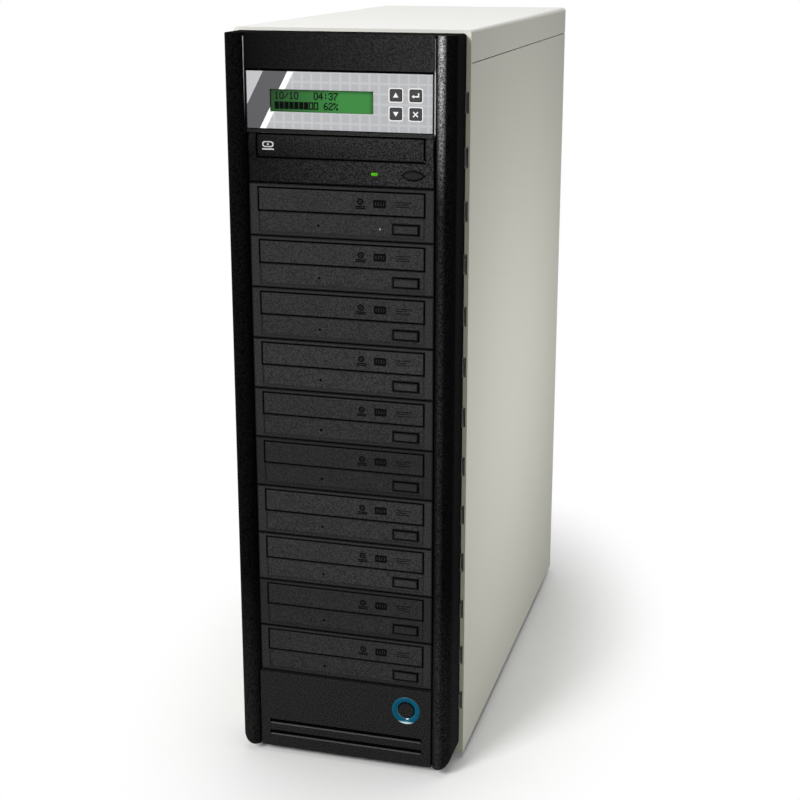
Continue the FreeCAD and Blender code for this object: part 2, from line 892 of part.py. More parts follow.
def recorder_lamps():
    span = recorder_lamp_span(0)
    lamps = [lamp("recorder_lamp", span, index, d.lower_field_depth) for index in range(RECORDERS)]
    return node(group("recorder_lamps", lamps), "recorder_lamps")


def eject_button(name, index):
    part = body(name)
    x, z = eject_span(0)
    face = drive_face - d.eject_proud
    pad(part, "XZ", face, bezel_back + d.eject_tail, rect(x, z))
    soften(part, "Chamfer", d.eject_edge, "x", y=(face,), z=z)
    place(part, z=bay(index))
    return node(part, name)


def oval(name, depth, margin):
    """Lens outline of the reader's button: where two upright-offset cylinders meet."""
    radius = squared_over(d.oval_width, d.oval_height / 2)
    offset = radius - d.oval_height / 2
    x = bezel_half - d.oval_right
    upper = rod(f"{name}_upper", (x, d.oval_rise + offset), depth, radius + margin)
    lower = rod(f"{name}_lower", (x, d.oval_rise - offset), depth, radius + margin)
    return combine("Common", name, upper, lower)


def door_bulge(name):
    """Cylinder along X whose front follows the crown of the reader's door."""
    solid = doc.addObject("Part::Cylinder", name)
    solid.Placement.Rotation = FreeCAD.Rotation(FreeCAD.Vector(0, 1, 0), 90)
    radius = squared_over(door_height, d.reader_bulge)
    place(solid, -bezel_half, reader_crown + radius, d.door_sill + door_height / 2)
    bind(solid, "Radius", radius)
    bind(solid, "Height", bezel_half * 2)
    return solid


def reader_bezel():
    """Bezel whose ends carry on the crown of the door, with a finger notch under it."""
    part = bezel_blank("reader_front", READER_BAY)
    sill = d.door_sill - d.door_gap
    band = (sill, d.door_sill + door_height + d.door_gap)
    inner = door_half + d.door_gap
    cheeks = [rect((inner, bezel_half), band), rect((-bezel_half, -inner), band)]
    pad(part, "XZ", reader_crown, drive_face, *cheeks)
    pocket(part, "XZ", drive_face, bezel_back, rect(*reader_lamp_span(d.lamp_gap)))
    left = d.finger_left - bezel_half - d.finger_width / 2
    notch = rect((left, left + d.finger_width), (sill - d.finger_height, sill))
    pocket(part, "XZ", drive_face, drive_face + d.finger_depth, notch)
    brow_blank = body("reader_brow_blank")
    pad(brow_blank, "XZ", reader_crown, drive_face, rect(both(bezel_half), band))
    waste = place(combine("Cut", "reader_brow", brow_blank, door_bulge("brow_bulge")), z=bay(READER_BAY))
    crowned = combine("Cut", "reader_crowned", part, waste)
    hole = place(oval("oval_hole", (drive_face, bezel_back), d.fit_gap), z=bay(READER_BAY))
    return node(combine("Cut", "reader_bezel", crowned, hole), "reader_bezel")


def reader_eject():
    button = oval("reader_eject", (drive_face - d.eject_proud, bezel_back + d.eject_tail), 0)
    return node(place(button, z=bay(READER_BAY)), "reader_eject")


def reader_lamp():
    return node(lamp("reader_lamp", reader_lamp_span(0), READER_BAY, 0), "reader_lamp")


def drive_housing(index):
    """Folded steel box, open behind its bezel, with the two runners that carry the tray."""
    part = body("drive_housing")
    end = bezel_back + housing_length
    skin = d.housing_skin
    pad(part, "XZ", bezel_back, end, rect(both(housing_half), (0, bezel_height)))
    pocket(part, "XZ", bezel_back, end - skin, rect(both(housing_half - skin), (skin, bezel_height - skin)))
    level = (tray_floor - d.fit_gap - d.runner_thickness, tray_floor - d.fit_gap)
    wall = housing_half - skin
    ledge = wall - d.runner_width - d.door_overhang
    pad(part, "XZ", bezel_back, end - skin, rect((ledge, wall), level), rect((-wall, -ledge), level))
    plug = rect(both(d.socket_width / 2), (d.socket_rise, d.socket_rise + d.socket_height))
    pad(part, "XZ", end, end + d.socket_depth, plug)
    return place(part, z=bay(index))


def recorder_housings():
    housings = [drive_housing(index) for index in range(RECORDERS)]
    return node(group("recorder_housings", housings), "recorder_housings")


def reader_housing():
    return node(drive_housing(READER_BAY), "reader_housing")


def disc_carrier(index):
    """Tray plate with the seat of a disc and the opening for spindle and pickup."""
    part = body("disc_carrier")
    end = bezel_back + tray_length
    middle = bezel_back + d.disc_inset
    pad(part, "XY", tray_floor, tray_top, rect(both(tray_half), (bezel_back, end)))
    soften(part, "Chamfer", d.tray_corner, "z", x=both(tray_half), y=(end,))
    seat = tray_top - d.disc_depth
    pocket(part, "XY", seat, tray_top, circle(0, middle, d.disc_radius))
    pickup = rect(both(d.spindle_radius), (middle - d.spindle_radius, middle + d.pickup_length))
    pocket(part, "XY", tray_floor, tray_top, pickup)
    return place(part, z=bay(index))


def door_blank(name, face):
    part = body(name)
    pad(part, "XZ", face, bezel_back, rect(both(door_half), (d.door_sill, d.door_sill + door_height)))
    return part


def recorder_tray(name, index):
    face = drive_face - d.door_proud
    door = door_blank("tray_door", face)
    soften(door, "Chamfer", d.door_edge, "x", y=(face,), z=(d.door_sill, d.door_sill + door_height))
    place(door, z=bay(index))
    return node(group(name, [disc_carrier(index), door]), name)


def reader_tray():
    """The reader's door is rounded at its corners and bulges across its height."""
    blank = door_blank("reader_door_blank", reader_crown)
    ends = (d.door_sill, d.door_sill + door_height)
    soften(blank, "Fillet", d.reader_corner, "y", x=both(door_half), z=ends)
    door = combine("Common", "reader_door", blank, door_bulge("door_crown"))
    place(door, z=bay(READER_BAY))
    return node(group("reader_tray", [disc_carrier(READER_BAY), door]), "reader_tray")


# Power supply, inlet and rocker switch

def inlet_spot():
    return d.psu_width / 2 - d.inlet_right, case_floor + d.psu_height / 2


def power_supply():
    part = body("power_supply")
    start = psu_face - d.psu_depth
    half = d.psu_width / 2
    rise = (case_floor, case_floor + d.psu_height)
    pad(part, "XZ", start, psu_face, rect(both(half), rise))
    inside = rect(both(half - d.sheet), (rise[0] + d.sheet, rise[1] - d.sheet))
    pocket(part, "XZ", start, psu_face - d.sheet, inside)
    pad(part, "XZ", start, start + d.sheet, inside)
    x, z = inlet_spot()
    gap = d.fit_gap
    across = d.inlet_width / 2 + gap
    tall = d.inlet_height / 2 + gap
    pocket(part, "XZ", psu_face - d.sheet, psu_face, rect((x - across, x + across), (z - tall, z + tall)))
    low = z - d.vent_height / 2
    left = d.vent_left - half
    vent = rect((left, left + d.vent_width), (low, low + d.vent_height))
    first = pocket(part, "XZ", psu_face - d.sheet, psu_face, vent)
    repeat(part, first, "X_Axis", d.vent_pitch, VENT_SLOTS)
    return node(part, "power_supply")


def inlet_module():
    """Appliance inlet with three pins below and the window of the rocker switch above."""
    part = body("inlet_module")
    half = d.inlet_width / 2
    tall = d.inlet_height / 2
    rim = d.inlet_rim
    face = d.inlet_flange
    pad(part, "XZ", -d.inlet_depth, 0, rect(both(half), both(tall)))
    pad(part, "XZ", 0, face, rect(both(half + rim), both(tall + rim)))
    across = d.socket_mouth_width / 2
    up = d.socket_mouth_height / 2
    low = -d.inlet_offset
    cut = d.socket_corner
    mouth = polygon(
        (-across, low - up), (across, low - up), (across, low + up - cut), (across - cut, low + up),
        (cut - across, low + up), (-across, low + up - cut))
    floor = face - d.socket_mouth_depth
    pocket(part, "XZ", floor, face, mouth)
    pins = []
    for column in (-1, 0, 1):
        x = d.pin_pitch * column
        z = low + d.pin_step / 2 if column == 0 else low - d.pin_step / 2
        half_pin = (d.pin_width / 2, d.pin_height / 2)
        pins.append(rect((x - half_pin[0], x + half_pin[0]), (z - half_pin[1], z + half_pin[1])))
    pad(part, "XZ", floor, face - d.pin_sink, *pins)
    window_half = d.rocker_width / 2 + d.fit_gap
    window_tall = d.rocker_length / 2 + d.rocker_play
    middle = d.inlet_offset
    window = rect(both(window_half), (middle - window_tall, middle + window_tall))
    pocket(part, "XZ", face - d.switch_depth, face, window)
    pivot = circle(face - d.rocker_crest, middle, d.pivot_radius + d.pivot_gap)
    reach = window_half + d.pivot_length
    pocket(part, "YZ", -reach, reach, pivot)
    x, z = inlet_spot()
    place(part, x, psu_face, z)
    return node(part, "inlet_module")


def rocker():
    """Rocker cap on two pivot pins, tipped to its lower stop."""
    part = body("rocker_switch")
    half = d.rocker_length / 2
    width = d.rocker_width / 2
    end = d.rocker_crest + d.rocker_rise
    profile = polygon(
        (d.rocker_crest, 0), (end, half), (-d.rocker_skirt, half), (-d.rocker_keel, half / 2),
        (-d.rocker_keel, -half / 2), (-d.rocker_skirt, -half), (end, -half))
    pad(part, "YZ", -width, width, profile)
    reach = width + d.pivot_length
    pad(part, "YZ", -reach, reach, circle(0, 0, d.pivot_radius))
    part.Placement.Rotation = FreeCAD.Rotation(FreeCAD.Vector(1, 0, 0), 1)
    bind(part, "Placement.Rotation.Angle", d.rocker_tilt)
    x, z = inlet_spot()
    place(part, x, psu_face + d.inlet_flange - d.rocker_crest, z + d.inlet_offset)
    return node(part, "rocker_switch")


# Case fans, drawn about their own axis with the rear face at y = 0

def fan_frame(index):
    part = body("fan_frame")
    half = d.fan_size / 2
    pad(part, "XZ", -d.fan_depth, 0, rect(both(half), both(half)))
    soften(part, "Chamfer", d.fan_corner, "y", x=both(half), z=both(half))
    pocket(part, "XZ", -d.fan_depth, 0, circle(0, 0, d.fan_bore))
    strut = d.strut_width / 2
    pad(part, "XZ", -d.strut_depth, 0, rect(both(half - d.sheet), both(strut)))
    pad(part, "XZ", -d.strut_depth, 0, rect(both(strut), both(half - d.sheet)))
    pad(part, "XZ", -d.stator_depth, 0, circle(0, 0, d.stator_radius))
    bearing = circle(0, 0, d.shaft_radius + d.shaft_gap)
    pocket(part, "XZ", -d.stator_depth, -d.sheet, bearing)
    return place(part, y=psu_face, z=fan_height(index))


def fan_frames():
    return node(group("fan_frames", [fan_frame(index) for index in range(2)]), "fan_frames")


def fan_rotor(name, index):
    """Hub on a shaft, with flat blades set at a pitch that widen from the hub to the tip."""
    part = body(name)
    crown = d.hub_setback - d.fan_depth
    lip = -d.stator_depth - d.rotor_gap
    end = -d.sheet - d.rotor_gap
    hub = polygon(
        (0, crown), (d.hub_radius, crown), (d.hub_radius, lip),
        (d.shaft_radius, lip), (d.shaft_radius, end), (0, end))
    revolve(part, "XY", "Y_Axis", hub)
    middle = (crown + lip) / 2
    root = d.hub_radius - d.blade_sink
    narrow = d.blade_root_width / 2
    wide = d.blade_tip_width / 2
    tip = chord(d.fan_bore - d.fan_tip_gap, wide)
    shape = polygon((root, -narrow), (tip, -wide), (tip, wide), (root, narrow))
    blade = pad(part, "XZ", middle, middle + d.blade_thickness, shape)
    sketch = blade.Profile[0]
    tilt = FreeCAD.Rotation(FreeCAD.Vector(1, 0, 0), 1)
    sketch.AttachmentOffset = FreeCAD.Placement(FreeCAD.Vector(), tilt)
    bind(sketch, "AttachmentOffset.Rotation.Angle", d.blade_pitch)
    ring = part.newObject("PartDesign::PolarPattern", f"{part.Name}_blades")
    ring.Originals = [blade]
    ring.Axis = (origin(part, "Y_Axis"), [""])
    ring.Angle = 360
    ring.Occurrences = FAN_BLADES
    part.Tip = ring
    place(part, y=psu_face, z=fan_height(index))
    return node(part, name)


# The whole tower

front_frame()
base_pan()
rear_panel()
top_cover()
side_panel("left_side_panel", -1)
side_panel("right_side_panel", 1)
cage_wall("left_cage_wall", -1)
cage_wall("right_cage_wall", 1)
rubber_feet()
cover_screws()
pillar("left_pillar", -1)
pillar("right_pillar", 1)
top_panel()
power_panel()
power_ring()
power_button()
control_panel()
lcd_module()
control_boards()
key("key_down", 0, 0)
key("key_up", 0, 1)
key("key_escape", 1, 0)
key("key_enter", 1, 1)
reader_bezel()
reader_housing()
reader_tray()
reader_eject()
reader_lamp()
recorder_bezels()
recorder_housings()
recorder_lamps()
for drive in range(RECORDERS):
    recorder_tray(f"recorder_tray_{drive + 1:02d}", drive)
    eject_button(f"recorder_eject_{drive + 1:02d}", drive)
power_supply()
inlet_module()
rocker()
fan_frames()
fan_rotor("lower_fan_rotor", 0)
fan_rotor("upper_fan_rotor", 1)

doc.recompute()

faults = [item.Label for item in doc.Objects if {"Invalid", "Error"} & set(item.State)]
faults += [item.Label for item in nodes if item.Shape.isNull() or not item.Shape.isValid()]
if faults:
    raise RuntimeError(f"these did not build: {faults}")

os.makedirs("parts", exist_ok=True)
for item in nodes:
    item.Shape.exportStep(f"parts/{item.Label}.step")
print(f"{len(nodes)} sub-parts written")
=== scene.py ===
# %% [markdown]
# # A disc duplicator tower
# The tower copies one disc to ten at once. A reader sits over ten recorders, a control panel over the
# reader and a power panel at the foot, all in a case of folded and painted steel. FreeCAD made the solids
# and their joints. This lesson gives them a camera, light, finishes and the small parts that a solid model
# leaves out. Every piece is drawn in the frame of the CAD model, so it goes where the solids say.

# %% Load the solids
import math
from collections import namedtuple

import bmesh
import bpy
from mathutils import Matrix, Vector


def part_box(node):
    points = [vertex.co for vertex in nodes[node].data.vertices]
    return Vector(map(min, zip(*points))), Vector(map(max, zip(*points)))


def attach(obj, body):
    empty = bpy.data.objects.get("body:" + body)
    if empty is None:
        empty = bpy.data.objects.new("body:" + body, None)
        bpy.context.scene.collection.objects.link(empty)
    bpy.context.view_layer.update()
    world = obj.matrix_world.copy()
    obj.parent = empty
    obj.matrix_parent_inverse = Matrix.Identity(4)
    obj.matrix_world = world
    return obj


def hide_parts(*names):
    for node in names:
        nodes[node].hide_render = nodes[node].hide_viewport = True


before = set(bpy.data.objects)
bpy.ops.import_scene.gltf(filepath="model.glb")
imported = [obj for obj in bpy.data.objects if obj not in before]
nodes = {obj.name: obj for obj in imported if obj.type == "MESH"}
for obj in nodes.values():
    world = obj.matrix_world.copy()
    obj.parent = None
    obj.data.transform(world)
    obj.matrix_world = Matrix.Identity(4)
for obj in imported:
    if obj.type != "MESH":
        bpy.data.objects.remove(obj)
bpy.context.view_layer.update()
MM = 0.001

# %% [markdown]
# ## Measures that come back
# Several cells need the same measures of the solids, so they get names here. The drives stand in bays of one
# height, with the reader over the ten recorders. A door and a button sit at a set rise over the floor of
# their bay. The last three are the depths at which the foremost faces, the foil and the drives look forward.

# %% Measures that come back, in mm
BAY, FIRST_BAY, RECORDERS = 41.5, 76.0, 10
READER_BAY = FIRST_BAY + BAY * RECORDERS
DOOR_RISE, BUTTON_RISE = 28.4, 9.4
FRONT_HALF = 74.3
FRONT_FACE, FOIL_FACE, DRIVE_FACE = -226, -225.5, -223
print("the reader's bay starts at", READER_BAY, "mm, the front is", 2 * FRONT_HALF, "mm wide")

# %% [markdown]
# ## Camera
# The picture is taken from a little above and a little to the right, far enough away for a calm
# perspective. The place, the turn and the lens were worked out from the corners of the case and the
# lines between the drives. The frame is shifted down a little, so that the camera needs less tilt and the
# tall sides stay nearer to upright.

# %% Camera
TILT, TURN = 15.345, 15.57
lens = bpy.data.cameras.new("studio_camera")
lens.lens = 68.5
lens.shift_y = -0.05
camera = bpy.data.objects.new("studio_camera", lens)
camera.location = (0.3547, -1.3256, 0.6701)
camera.rotation_euler = (math.radians(90 - TILT), 0, math.radians(TURN))
scene = bpy.context.scene
scene.collection.objects.link(camera)
scene.camera = camera
scene.view_settings.view_transform = "Standard"
print("camera looks from", [round(c, 3) for c in camera.location])

# %% [markdown]
# ## Tools for node materials
# A shader takes linear light, while a paint chip or a screen gives sRGB numbers, so one function turns a
# hex colour to linear. Another adds a node: its settings first, then each input as a value or a link. The
# short ones after it ask for the nodes that come back: arithmetic, a ramp, a mix of two colours, the place
# of the point that is shaded, and whether anyone looks at it.

# %% Colour and node tools
def tint(code):
    """The linear RGBA of an sRGB hex colour."""
    parts = [int(code[i:i + 2], 16) / 255 for i in (1, 3, 5)]
    return [c / 12.92 if c <= 0.04045 else ((c + 0.055) / 1.055) ** 2.4 for c in parts] + [1.0]


def knot(tree, kind, inputs=(), **settings):
    """Adds one node. Inputs are named or in order; a node given as an input links its first output."""
    node = tree.nodes.new(kind)
    for name, value in settings.items():
        setattr(node, name, value)
    sockets = [socket for socket in node.inputs if socket.enabled]
    for key, value in inputs.items() if isinstance(inputs, dict) else enumerate(inputs):
        socket = sockets[key] if isinstance(key, int) else next(s for s in sockets if s.name == key)
        if isinstance(value, bpy.types.Node):
            value = next(s for s in value.outputs if s.enabled)
        if isinstance(value, bpy.types.NodeSocket):
            tree.links.new(value, socket)
        else:
            socket.default_value = value
    return node


print("a mid grey in linear light:", [round(c, 3) for c in tint("#808080")])

# %% Nodes that come back
def maths(tree, operation, *inputs):
    """Arithmetic with one to three inputs."""
    return knot(tree, "ShaderNodeMath", inputs, operation=operation)


def ramp(tree, value, start, stop, low=0.0, high=1.0, smooth=False):
    """Goes from low to high while a value goes from start to stop, and stays level on both sides."""
    ends = {"Value": value, "From Min": start, "From Max": stop, "To Min": low, "To Max": high}
    return knot(tree, "ShaderNodeMapRange", ends, interpolation_type="SMOOTHSTEP" if smooth else "LINEAR")


def mix(tree, factor, first, second):
    """Goes from the first colour to the second."""
    return knot(tree, "ShaderNodeMix", {"Factor": factor, "A": first, "B": second}, data_type="RGBA")


def place_of(tree):
    """The shaded point in the frame of the tower, in metres."""
    return knot(tree, "ShaderNodeTexCoord").outputs["Object"]


def axes(tree):
    """The x, y and z of the shaded point."""
    return knot(tree, "ShaderNodeSeparateXYZ", [place_of(tree)]).outputs


def distance(tree, value, middle):
    """How far a value is from a middle, to either side."""
    return maths(tree, "ABSOLUTE", maths(tree, "SUBTRACT", value, middle))


def looked_at(tree):
    """One for what the camera, a gloss or a clear part sees, and zero for what only lights."""
    path = knot(tree, "ShaderNodeLightPath").outputs
    seen = maths(tree, "MAXIMUM", path["Is Camera Ray"], path["Is Glossy Ray"])
    return maths(tree, "MAXIMUM", seen, path["Is Transmission Ray"])


print("node tools ready")

# %% [markdown]
# ## Light and floor
# A cut-out on white is usually shot in a white room: a soft lamp at the front left, a larger one above, a
# weak one with a grid to the right, and pale walls all round. The room lights the object softly, and what the
# camera, a gloss or a clear part sees of it is plain white. The floor is real and keeps the shadow near the
# object; further away it turns into the same white. It sends less light back up than it shows, as paper with
# a grey cloth beside the object does, so that the sides stay darker than the top.

# %% Room
ROOM_LIGHT = 0.3
room = bpy.data.worlds.new("white_room")
scene.world = room
room.use_nodes = True
tree = room.node_tree
tree.nodes.clear()
level = ramp(tree, looked_at(tree), 0, 1, ROOM_LIGHT, 1.0)
walls = knot(tree, "ShaderNodeBackground", {"Color": tint("#FFFFFF"), "Strength": level})
knot(tree, "ShaderNodeOutputWorld", {"Surface": walls})
print("room walls give", ROOM_LIGHT, "of white as light")

# %% Lamps
def soft_lamp(name, place, aim, size, watts, spread=180):
    """A square soft box that faces a point; a grid on it narrows the spread in degrees."""
    box = bpy.data.lights.new(name, "AREA")
    box.size = size
    box.energy = watts
    box.spread = math.radians(spread)
    lamp = bpy.data.objects.new(name, box)
    lamp.location = place
    lamp.rotation_euler = (Vector(aim) - Vector(place)).to_track_quat("-Z", "Y").to_euler()
    scene.collection.objects.link(lamp)


soft_lamp("key_lamp", (-0.9, -2.0, 1.5), aim=(0, -0.1, 0.3), size=0.8, watts=46)
soft_lamp("top_lamp", (0.1, 0.2, 2.7), aim=(0, 0, 0.3), size=1.5, watts=24.5)
soft_lamp("right_lamp", (2.0, 0.0, 0.38), aim=(0.1, 0, 0.28), size=0.4, watts=0.26, spread=21)

# %% Floor
FLOOR_RADIUS = 6.0
PAPER_ENDS, WHITE_STARTS, SQUEEZE = 0.22, 0.48, 1.9
bm = bmesh.new()
bmesh.ops.create_circle(bm, cap_ends=True, radius=FLOOR_RADIUS, segments=64)
sweep = bpy.data.meshes.new("studio_floor")
bm.to_mesh(sweep)
bm.free()
floor = bpy.data.objects.new("studio_floor", sweep)
scene.collection.objects.link(floor)
# Uncoated paper: fine fibres and no gloss, so the shadow on it is soft and has no mirror image.
paper = bpy.data.materials.new("white_studio_paper")
paper.use_nodes = True
tree = paper.node_tree
tree.nodes.clear()
place = place_of(tree)
narrow = knot(tree, "ShaderNodeVectorMath", [place, (SQUEEZE, 1.0, 1.0)], operation="MULTIPLY")
reach = knot(tree, "ShaderNodeVectorMath", [narrow], operation="LENGTH").outputs["Value"]
seen = looked_at(tree)
white = maths(tree, "MULTIPLY", seen, ramp(tree, reach, PAPER_ENDS, WHITE_STARTS, smooth=True))
fibre = knot(tree, "ShaderNodeTexNoise", {"Vector": place, "Scale": 1 / (3 * MM), "Detail": 3.0})
pale = mix(tree, fibre, tint("#F5F5F4"), tint("#F9F9F8"))
matt = knot(tree, "ShaderNodeBsdfDiffuse", {"Color": mix(tree, seen, tint("#BDBDBC"), pale)})
glow = knot(tree, "ShaderNodeEmission", {"Color": tint("#FFFFFF"), "Strength": 1.0})
sheet = knot(tree, "ShaderNodeMixShader", [white, matt, glow])
knot(tree, "ShaderNodeOutputMaterial", {"Surface": sheet})
floor.data.materials.append(paper)
print("floor reaches", FLOOR_RADIUS, "m")

# %% [markdown]
# ## Finishes
# Nearly every surface here is a paint or a moulded plastic, and both have the same build: a base tone
# that drifts a little over the part, a gloss that drifts with it, and a fine relief from the powder or
# from the grain etched into the mould. One function makes that build with sizes in millimetres, and each
# finish says what it is, gives its own numbers and adds what is special to it.

# %% The common build of a finish
Finish = namedtuple("Finish", "material tree tone shader")


def grained(name, tones, patch, grain, depth, rough, speck=0.0, shine=0.5, **surface):
    """A finish whose tone drifts in patches and whose relief has a grain and a depth, in mm.

    Speck is how far the grain shows in the tone, and shine is the strength of the mirror image.
    """
    material = bpy.data.materials.new(name)
    material.use_nodes = True
    tree = material.node_tree
    tree.nodes.clear()
    place = place_of(tree)
    drift = knot(tree, "ShaderNodeTexNoise", {"Vector": place, "Scale": 1 / (patch * MM), "Detail": 4.0})
    pits = knot(tree, "ShaderNodeTexNoise", {"Vector": place, "Scale": 1 / (grain * MM), "Detail": 2.0})
    peaks = ramp(tree, pits, 0.4, 0.6)
    mixed = knot(tree, "ShaderNodeMix", {"Factor": speck, "A": drift, "B": peaks})
    tone = mix(tree, mixed, tint(tones[0]), tint(tones[1]))
    gloss = ramp(tree, drift, 0, 1, rough - 0.05, rough + 0.05)
    relief = knot(tree, "ShaderNodeBump", {"Height": pits, "Strength": 1.0, "Distance": depth * MM})
    shader = knot(tree, "ShaderNodeBsdfPrincipled", {"Base Color": tone, "Roughness": gloss, "Normal": relief,
                                                     "Specular IOR Level": shine, **surface})
    knot(tree, "ShaderNodeOutputMaterial", {"Surface": shader})
    return Finish(material, tree, tone, shader)


finishes = {}
print("a grain of 1 mm is a noise scale of", 1 / MM)

# %% Changes to the tone of a finish
def recolour(finish, tone):
    """Gives the shader of a finish another tone."""
    colour = next(socket for socket in tone.outputs if socket.enabled)
    finish.tree.links.new(colour, finish.shader.inputs["Base Color"])
    return finish._replace(tone=tone)


def blend(finish, factor, colour):
    """Mixes a hex colour into the tone."""
    return recolour(finish, mix(finish.tree, factor, finish.tone, tint(colour)))


def scale_tone(finish, factor):
    """Makes the tone lighter or darker by a factor."""
    scaled = knot(finish.tree, "ShaderNodeVectorMath", {0: finish.tone, "Scale": factor}, operation="SCALE")
    return recolour(finish, scaled)


def slope(tree, left, right):
    """A factor that goes evenly from the left end of the front panels to the right end."""
    return ramp(tree, axes(tree)["X"], -FRONT_HALF * MM, FRONT_HALF * MM, left, right)


print("tones can be blended, scaled and sloped")

# %% [markdown]
# ### Powder-coated steel
# The case is steel sheet, sprayed with polyester powder and baked. The melt draws into a faint orange
# peel about 2 mm across, and a half-gloss skin: soft wide reflections and no sparkle. The frame at the
# front, of which only a narrow strip shows beside each pillar, has a coat that is more like cream, and under
# the cover's edge it took the cover's own paint. The faces of the cover that look up get a whiter copy of
# the paint: painted light, for the light that falls on the top.

# %% Powder-coated steel
BROW_LOW, BROW_HIGH = 600, 604
finishes["case_paint"] = grained("powder_coated_steel", ("#DDDCD0", "#E2E1D6"), 70, 2.0, 0.02, 0.62, 0.3,
                                 shine=0.08).material
# Painted light: a whiter copy of the paint, for the faces of the cover that look up.
top_lit_paint = grained("top_lit_powder_coated_steel", ("#E0E0DD", "#E5E5E2"), 70, 2.0, 0.02, 0.62, 0.3,
                      shine=0.08).material
cream = grained("powder_coated_cream_steel", ("#DEDDC6", "#E4E3CE"), 70, 2.0, 0.02, 0.6, 0.3, shine=0.08)
brow = ramp(cream.tree, axes(cream.tree)["Z"], BROW_LOW * MM, BROW_HIGH * MM)
blend(cream, brow, "#DFDED7")
print("case:", finishes["case_paint"].name, "and its front frame:", cream.material.name)

# %% [markdown]
# ### Moulded plastics
# The pillars and the two blank panels are ABS, moulded in a tool whose face was etched. The real grain is
# about 0.7 mm, which is less than a pixel here, so it is drawn a little coarser. It breaks the reflection
# of the lamp into specks. The flank of the right pillar beside the reader carries a painted highlight of
# the lamp, less and less further down, the lowest part of both pillars is paler with a painted reflection
# of the floor, and the rest of the pillars is dull. The blank panel at the top and the smoother reader
# mirror the bright right side of the room, which their finish draws as a painted reflection: a tone that
# gets lighter to that end. The recorders are a grey charge of the same ABS. The trays, the fans and the
# inlet are nylon filled with glass, even and a little grey.

# %% Dull ABS of the pillars
FLOOR_REFLECTION_STARTS, FLOOR_REFLECTION_FULL = 170, 40
HIGHLIGHT_STARTS, HIGHLIGHT_FULL, HIGHLIGHT_X, HIGHLIGHT_REACH = 470, 605, 80.6, 4.4


def pillar_finish(name):
    """The ABS of the pillars, paler in the lowest part with a painted reflection of the floor, and the peaks of
    its grain.
    """
    finish = grained(name, ("#000000", "#101010"), 25, 1.2, 0.25, 0.85, 0.8, shine=0.015)
    tree = finish.tree
    pits = knot(tree, "ShaderNodeTexNoise", {"Vector": place_of(tree), "Scale": 1 / (1.2 * MM), "Detail": 2.0})
    peaks = ramp(tree, pits, 0.38, 0.62, low=0.15)
    # Painted reflection of the floor: the lowest part of the pillars is paler.
    floor_reflection = ramp(tree, axes(tree)["Z"], FLOOR_REFLECTION_STARTS * MM, FLOOR_REFLECTION_FULL * MM)
    return blend(finish, maths(tree, "MULTIPLY", floor_reflection, peaks), "#282828"), peaks


finishes["pillar_plastic"] = pillar_finish("etch_grained_black_abs")[0].material
highlit_pillar, peaks = pillar_finish("highlight_painted_black_abs")
tree, spot = highlit_pillar.tree, axes(highlit_pillar.tree)
# Painted highlight: a pale band along the inner flank of the right pillar, fading further down.
height = ramp(tree, spot["Z"], HIGHLIGHT_STARTS * MM, HIGHLIGHT_FULL * MM, low=0.04, smooth=True)
band = ramp(tree, distance(tree, spot["X"], HIGHLIGHT_X * MM), HIGHLIGHT_REACH * MM, 0, smooth=True)
painted_highlight = maths(tree, "MULTIPLY", maths(tree, "MULTIPLY", height, band), peaks)
blend(highlit_pillar, painted_highlight, "#C0C0C0")
print("pillars:", finishes["pillar_plastic"].name, "and", highlit_pillar.material.name)

# %% Black and charcoal plastics
panel_black = grained("etch_grained_panel_abs", ("#000000", "#2B2B2B"), 25, 1.0, 0.25, 0.5, 0.85,
                      shine=0.08).material
top_black = grained("etch_grained_cover_abs", ("#0E0E0E", "#1F1F1F"), 25, 1.2, 0.2, 0.5, 0.85, shine=0.03)
# Painted reflection: the tone gets lighter toward the right end.
scale_tone(top_black, slope(top_black.tree, 0.05, 2.6))
carrier = grained("glass_filled_black_nylon", ("#131313", "#191919"), 18, 1.3, 0.04, 0.5, 0.5,
                  shine=0.25).material
finishes["black_plastic"] = carrier
satin = grained("satin_black_abs", ("#060606", "#252525"), 30, 1.1, 0.12, 0.5, 0.85, shine=0.03)
finishes["reader_plastic"] = satin.material
charcoal = grained("etch_grained_charcoal_abs", ("#121212", "#343434"), 20, 1.0, 0.12, 0.55, 0.8, shine=0.12)
finishes["bezel_plastic"] = charcoal.material
print("plastics:", [finishes[slot].name for slot in ("black_plastic", "reader_plastic", "bezel_plastic")])

# %% [markdown]
# Each drive is a little lighter or darker than its neighbour, which a random number for its bay gives. Dark
# lines run round the doors, the buttons and each drive, because hardly any light comes back out of a gap less
# than a millimetre wide. The solids have those gaps, and the edge of the plastic beside them is darkened
# too, by its distance from the outline of the door, of the button and of the drive.

# %% Tone of each drive and shade beside the gaps
DARKEST, LIGHTEST, FADE = 0.62, 1.22, 0.5


def shade_gaps(finish, outlines, left_end, right_end):
    """Gives each drive its tone, a painted reflection from left_end to right_end, and painted shade along
    outlines.

    An outline is its middle x, width, middle height in the bay, height and reach in mm, and what is left
    of the tone there.
    """
    tree, spot = finish.tree, axes(finish.tree)
    above = maths(tree, "SUBTRACT", spot["Z"], FIRST_BAY * MM)
    rise = maths(tree, "FLOORED_MODULO", above, BAY * MM)
    drive = maths(tree, "FLOOR", maths(tree, "DIVIDE", above, BAY * MM))
    chance = knot(tree, "ShaderNodeTexWhiteNoise", {"W": drive}, noise_dimensions="1D")
    shade = ramp(tree, chance, 0, 1, DARKEST, LIGHTEST)
    shade = maths(tree, "MULTIPLY", shade, slope(tree, left_end, right_end))
    for middle, width, level, tall, reach, left in outlines:
        beside = maths(tree, "SUBTRACT", distance(tree, spot["X"], middle * MM), width / 2 * MM)
        over = maths(tree, "SUBTRACT", distance(tree, rise, level * MM), tall / 2 * MM)
        edge = maths(tree, "ABSOLUTE", maths(tree, "MAXIMUM", beside, over))
        clear = ramp(tree, edge, reach * MM, (reach + FADE) * MM, low=left)
        shade = maths(tree, "MULTIPLY", shade, clear)
    scale_tone(finish, shade)


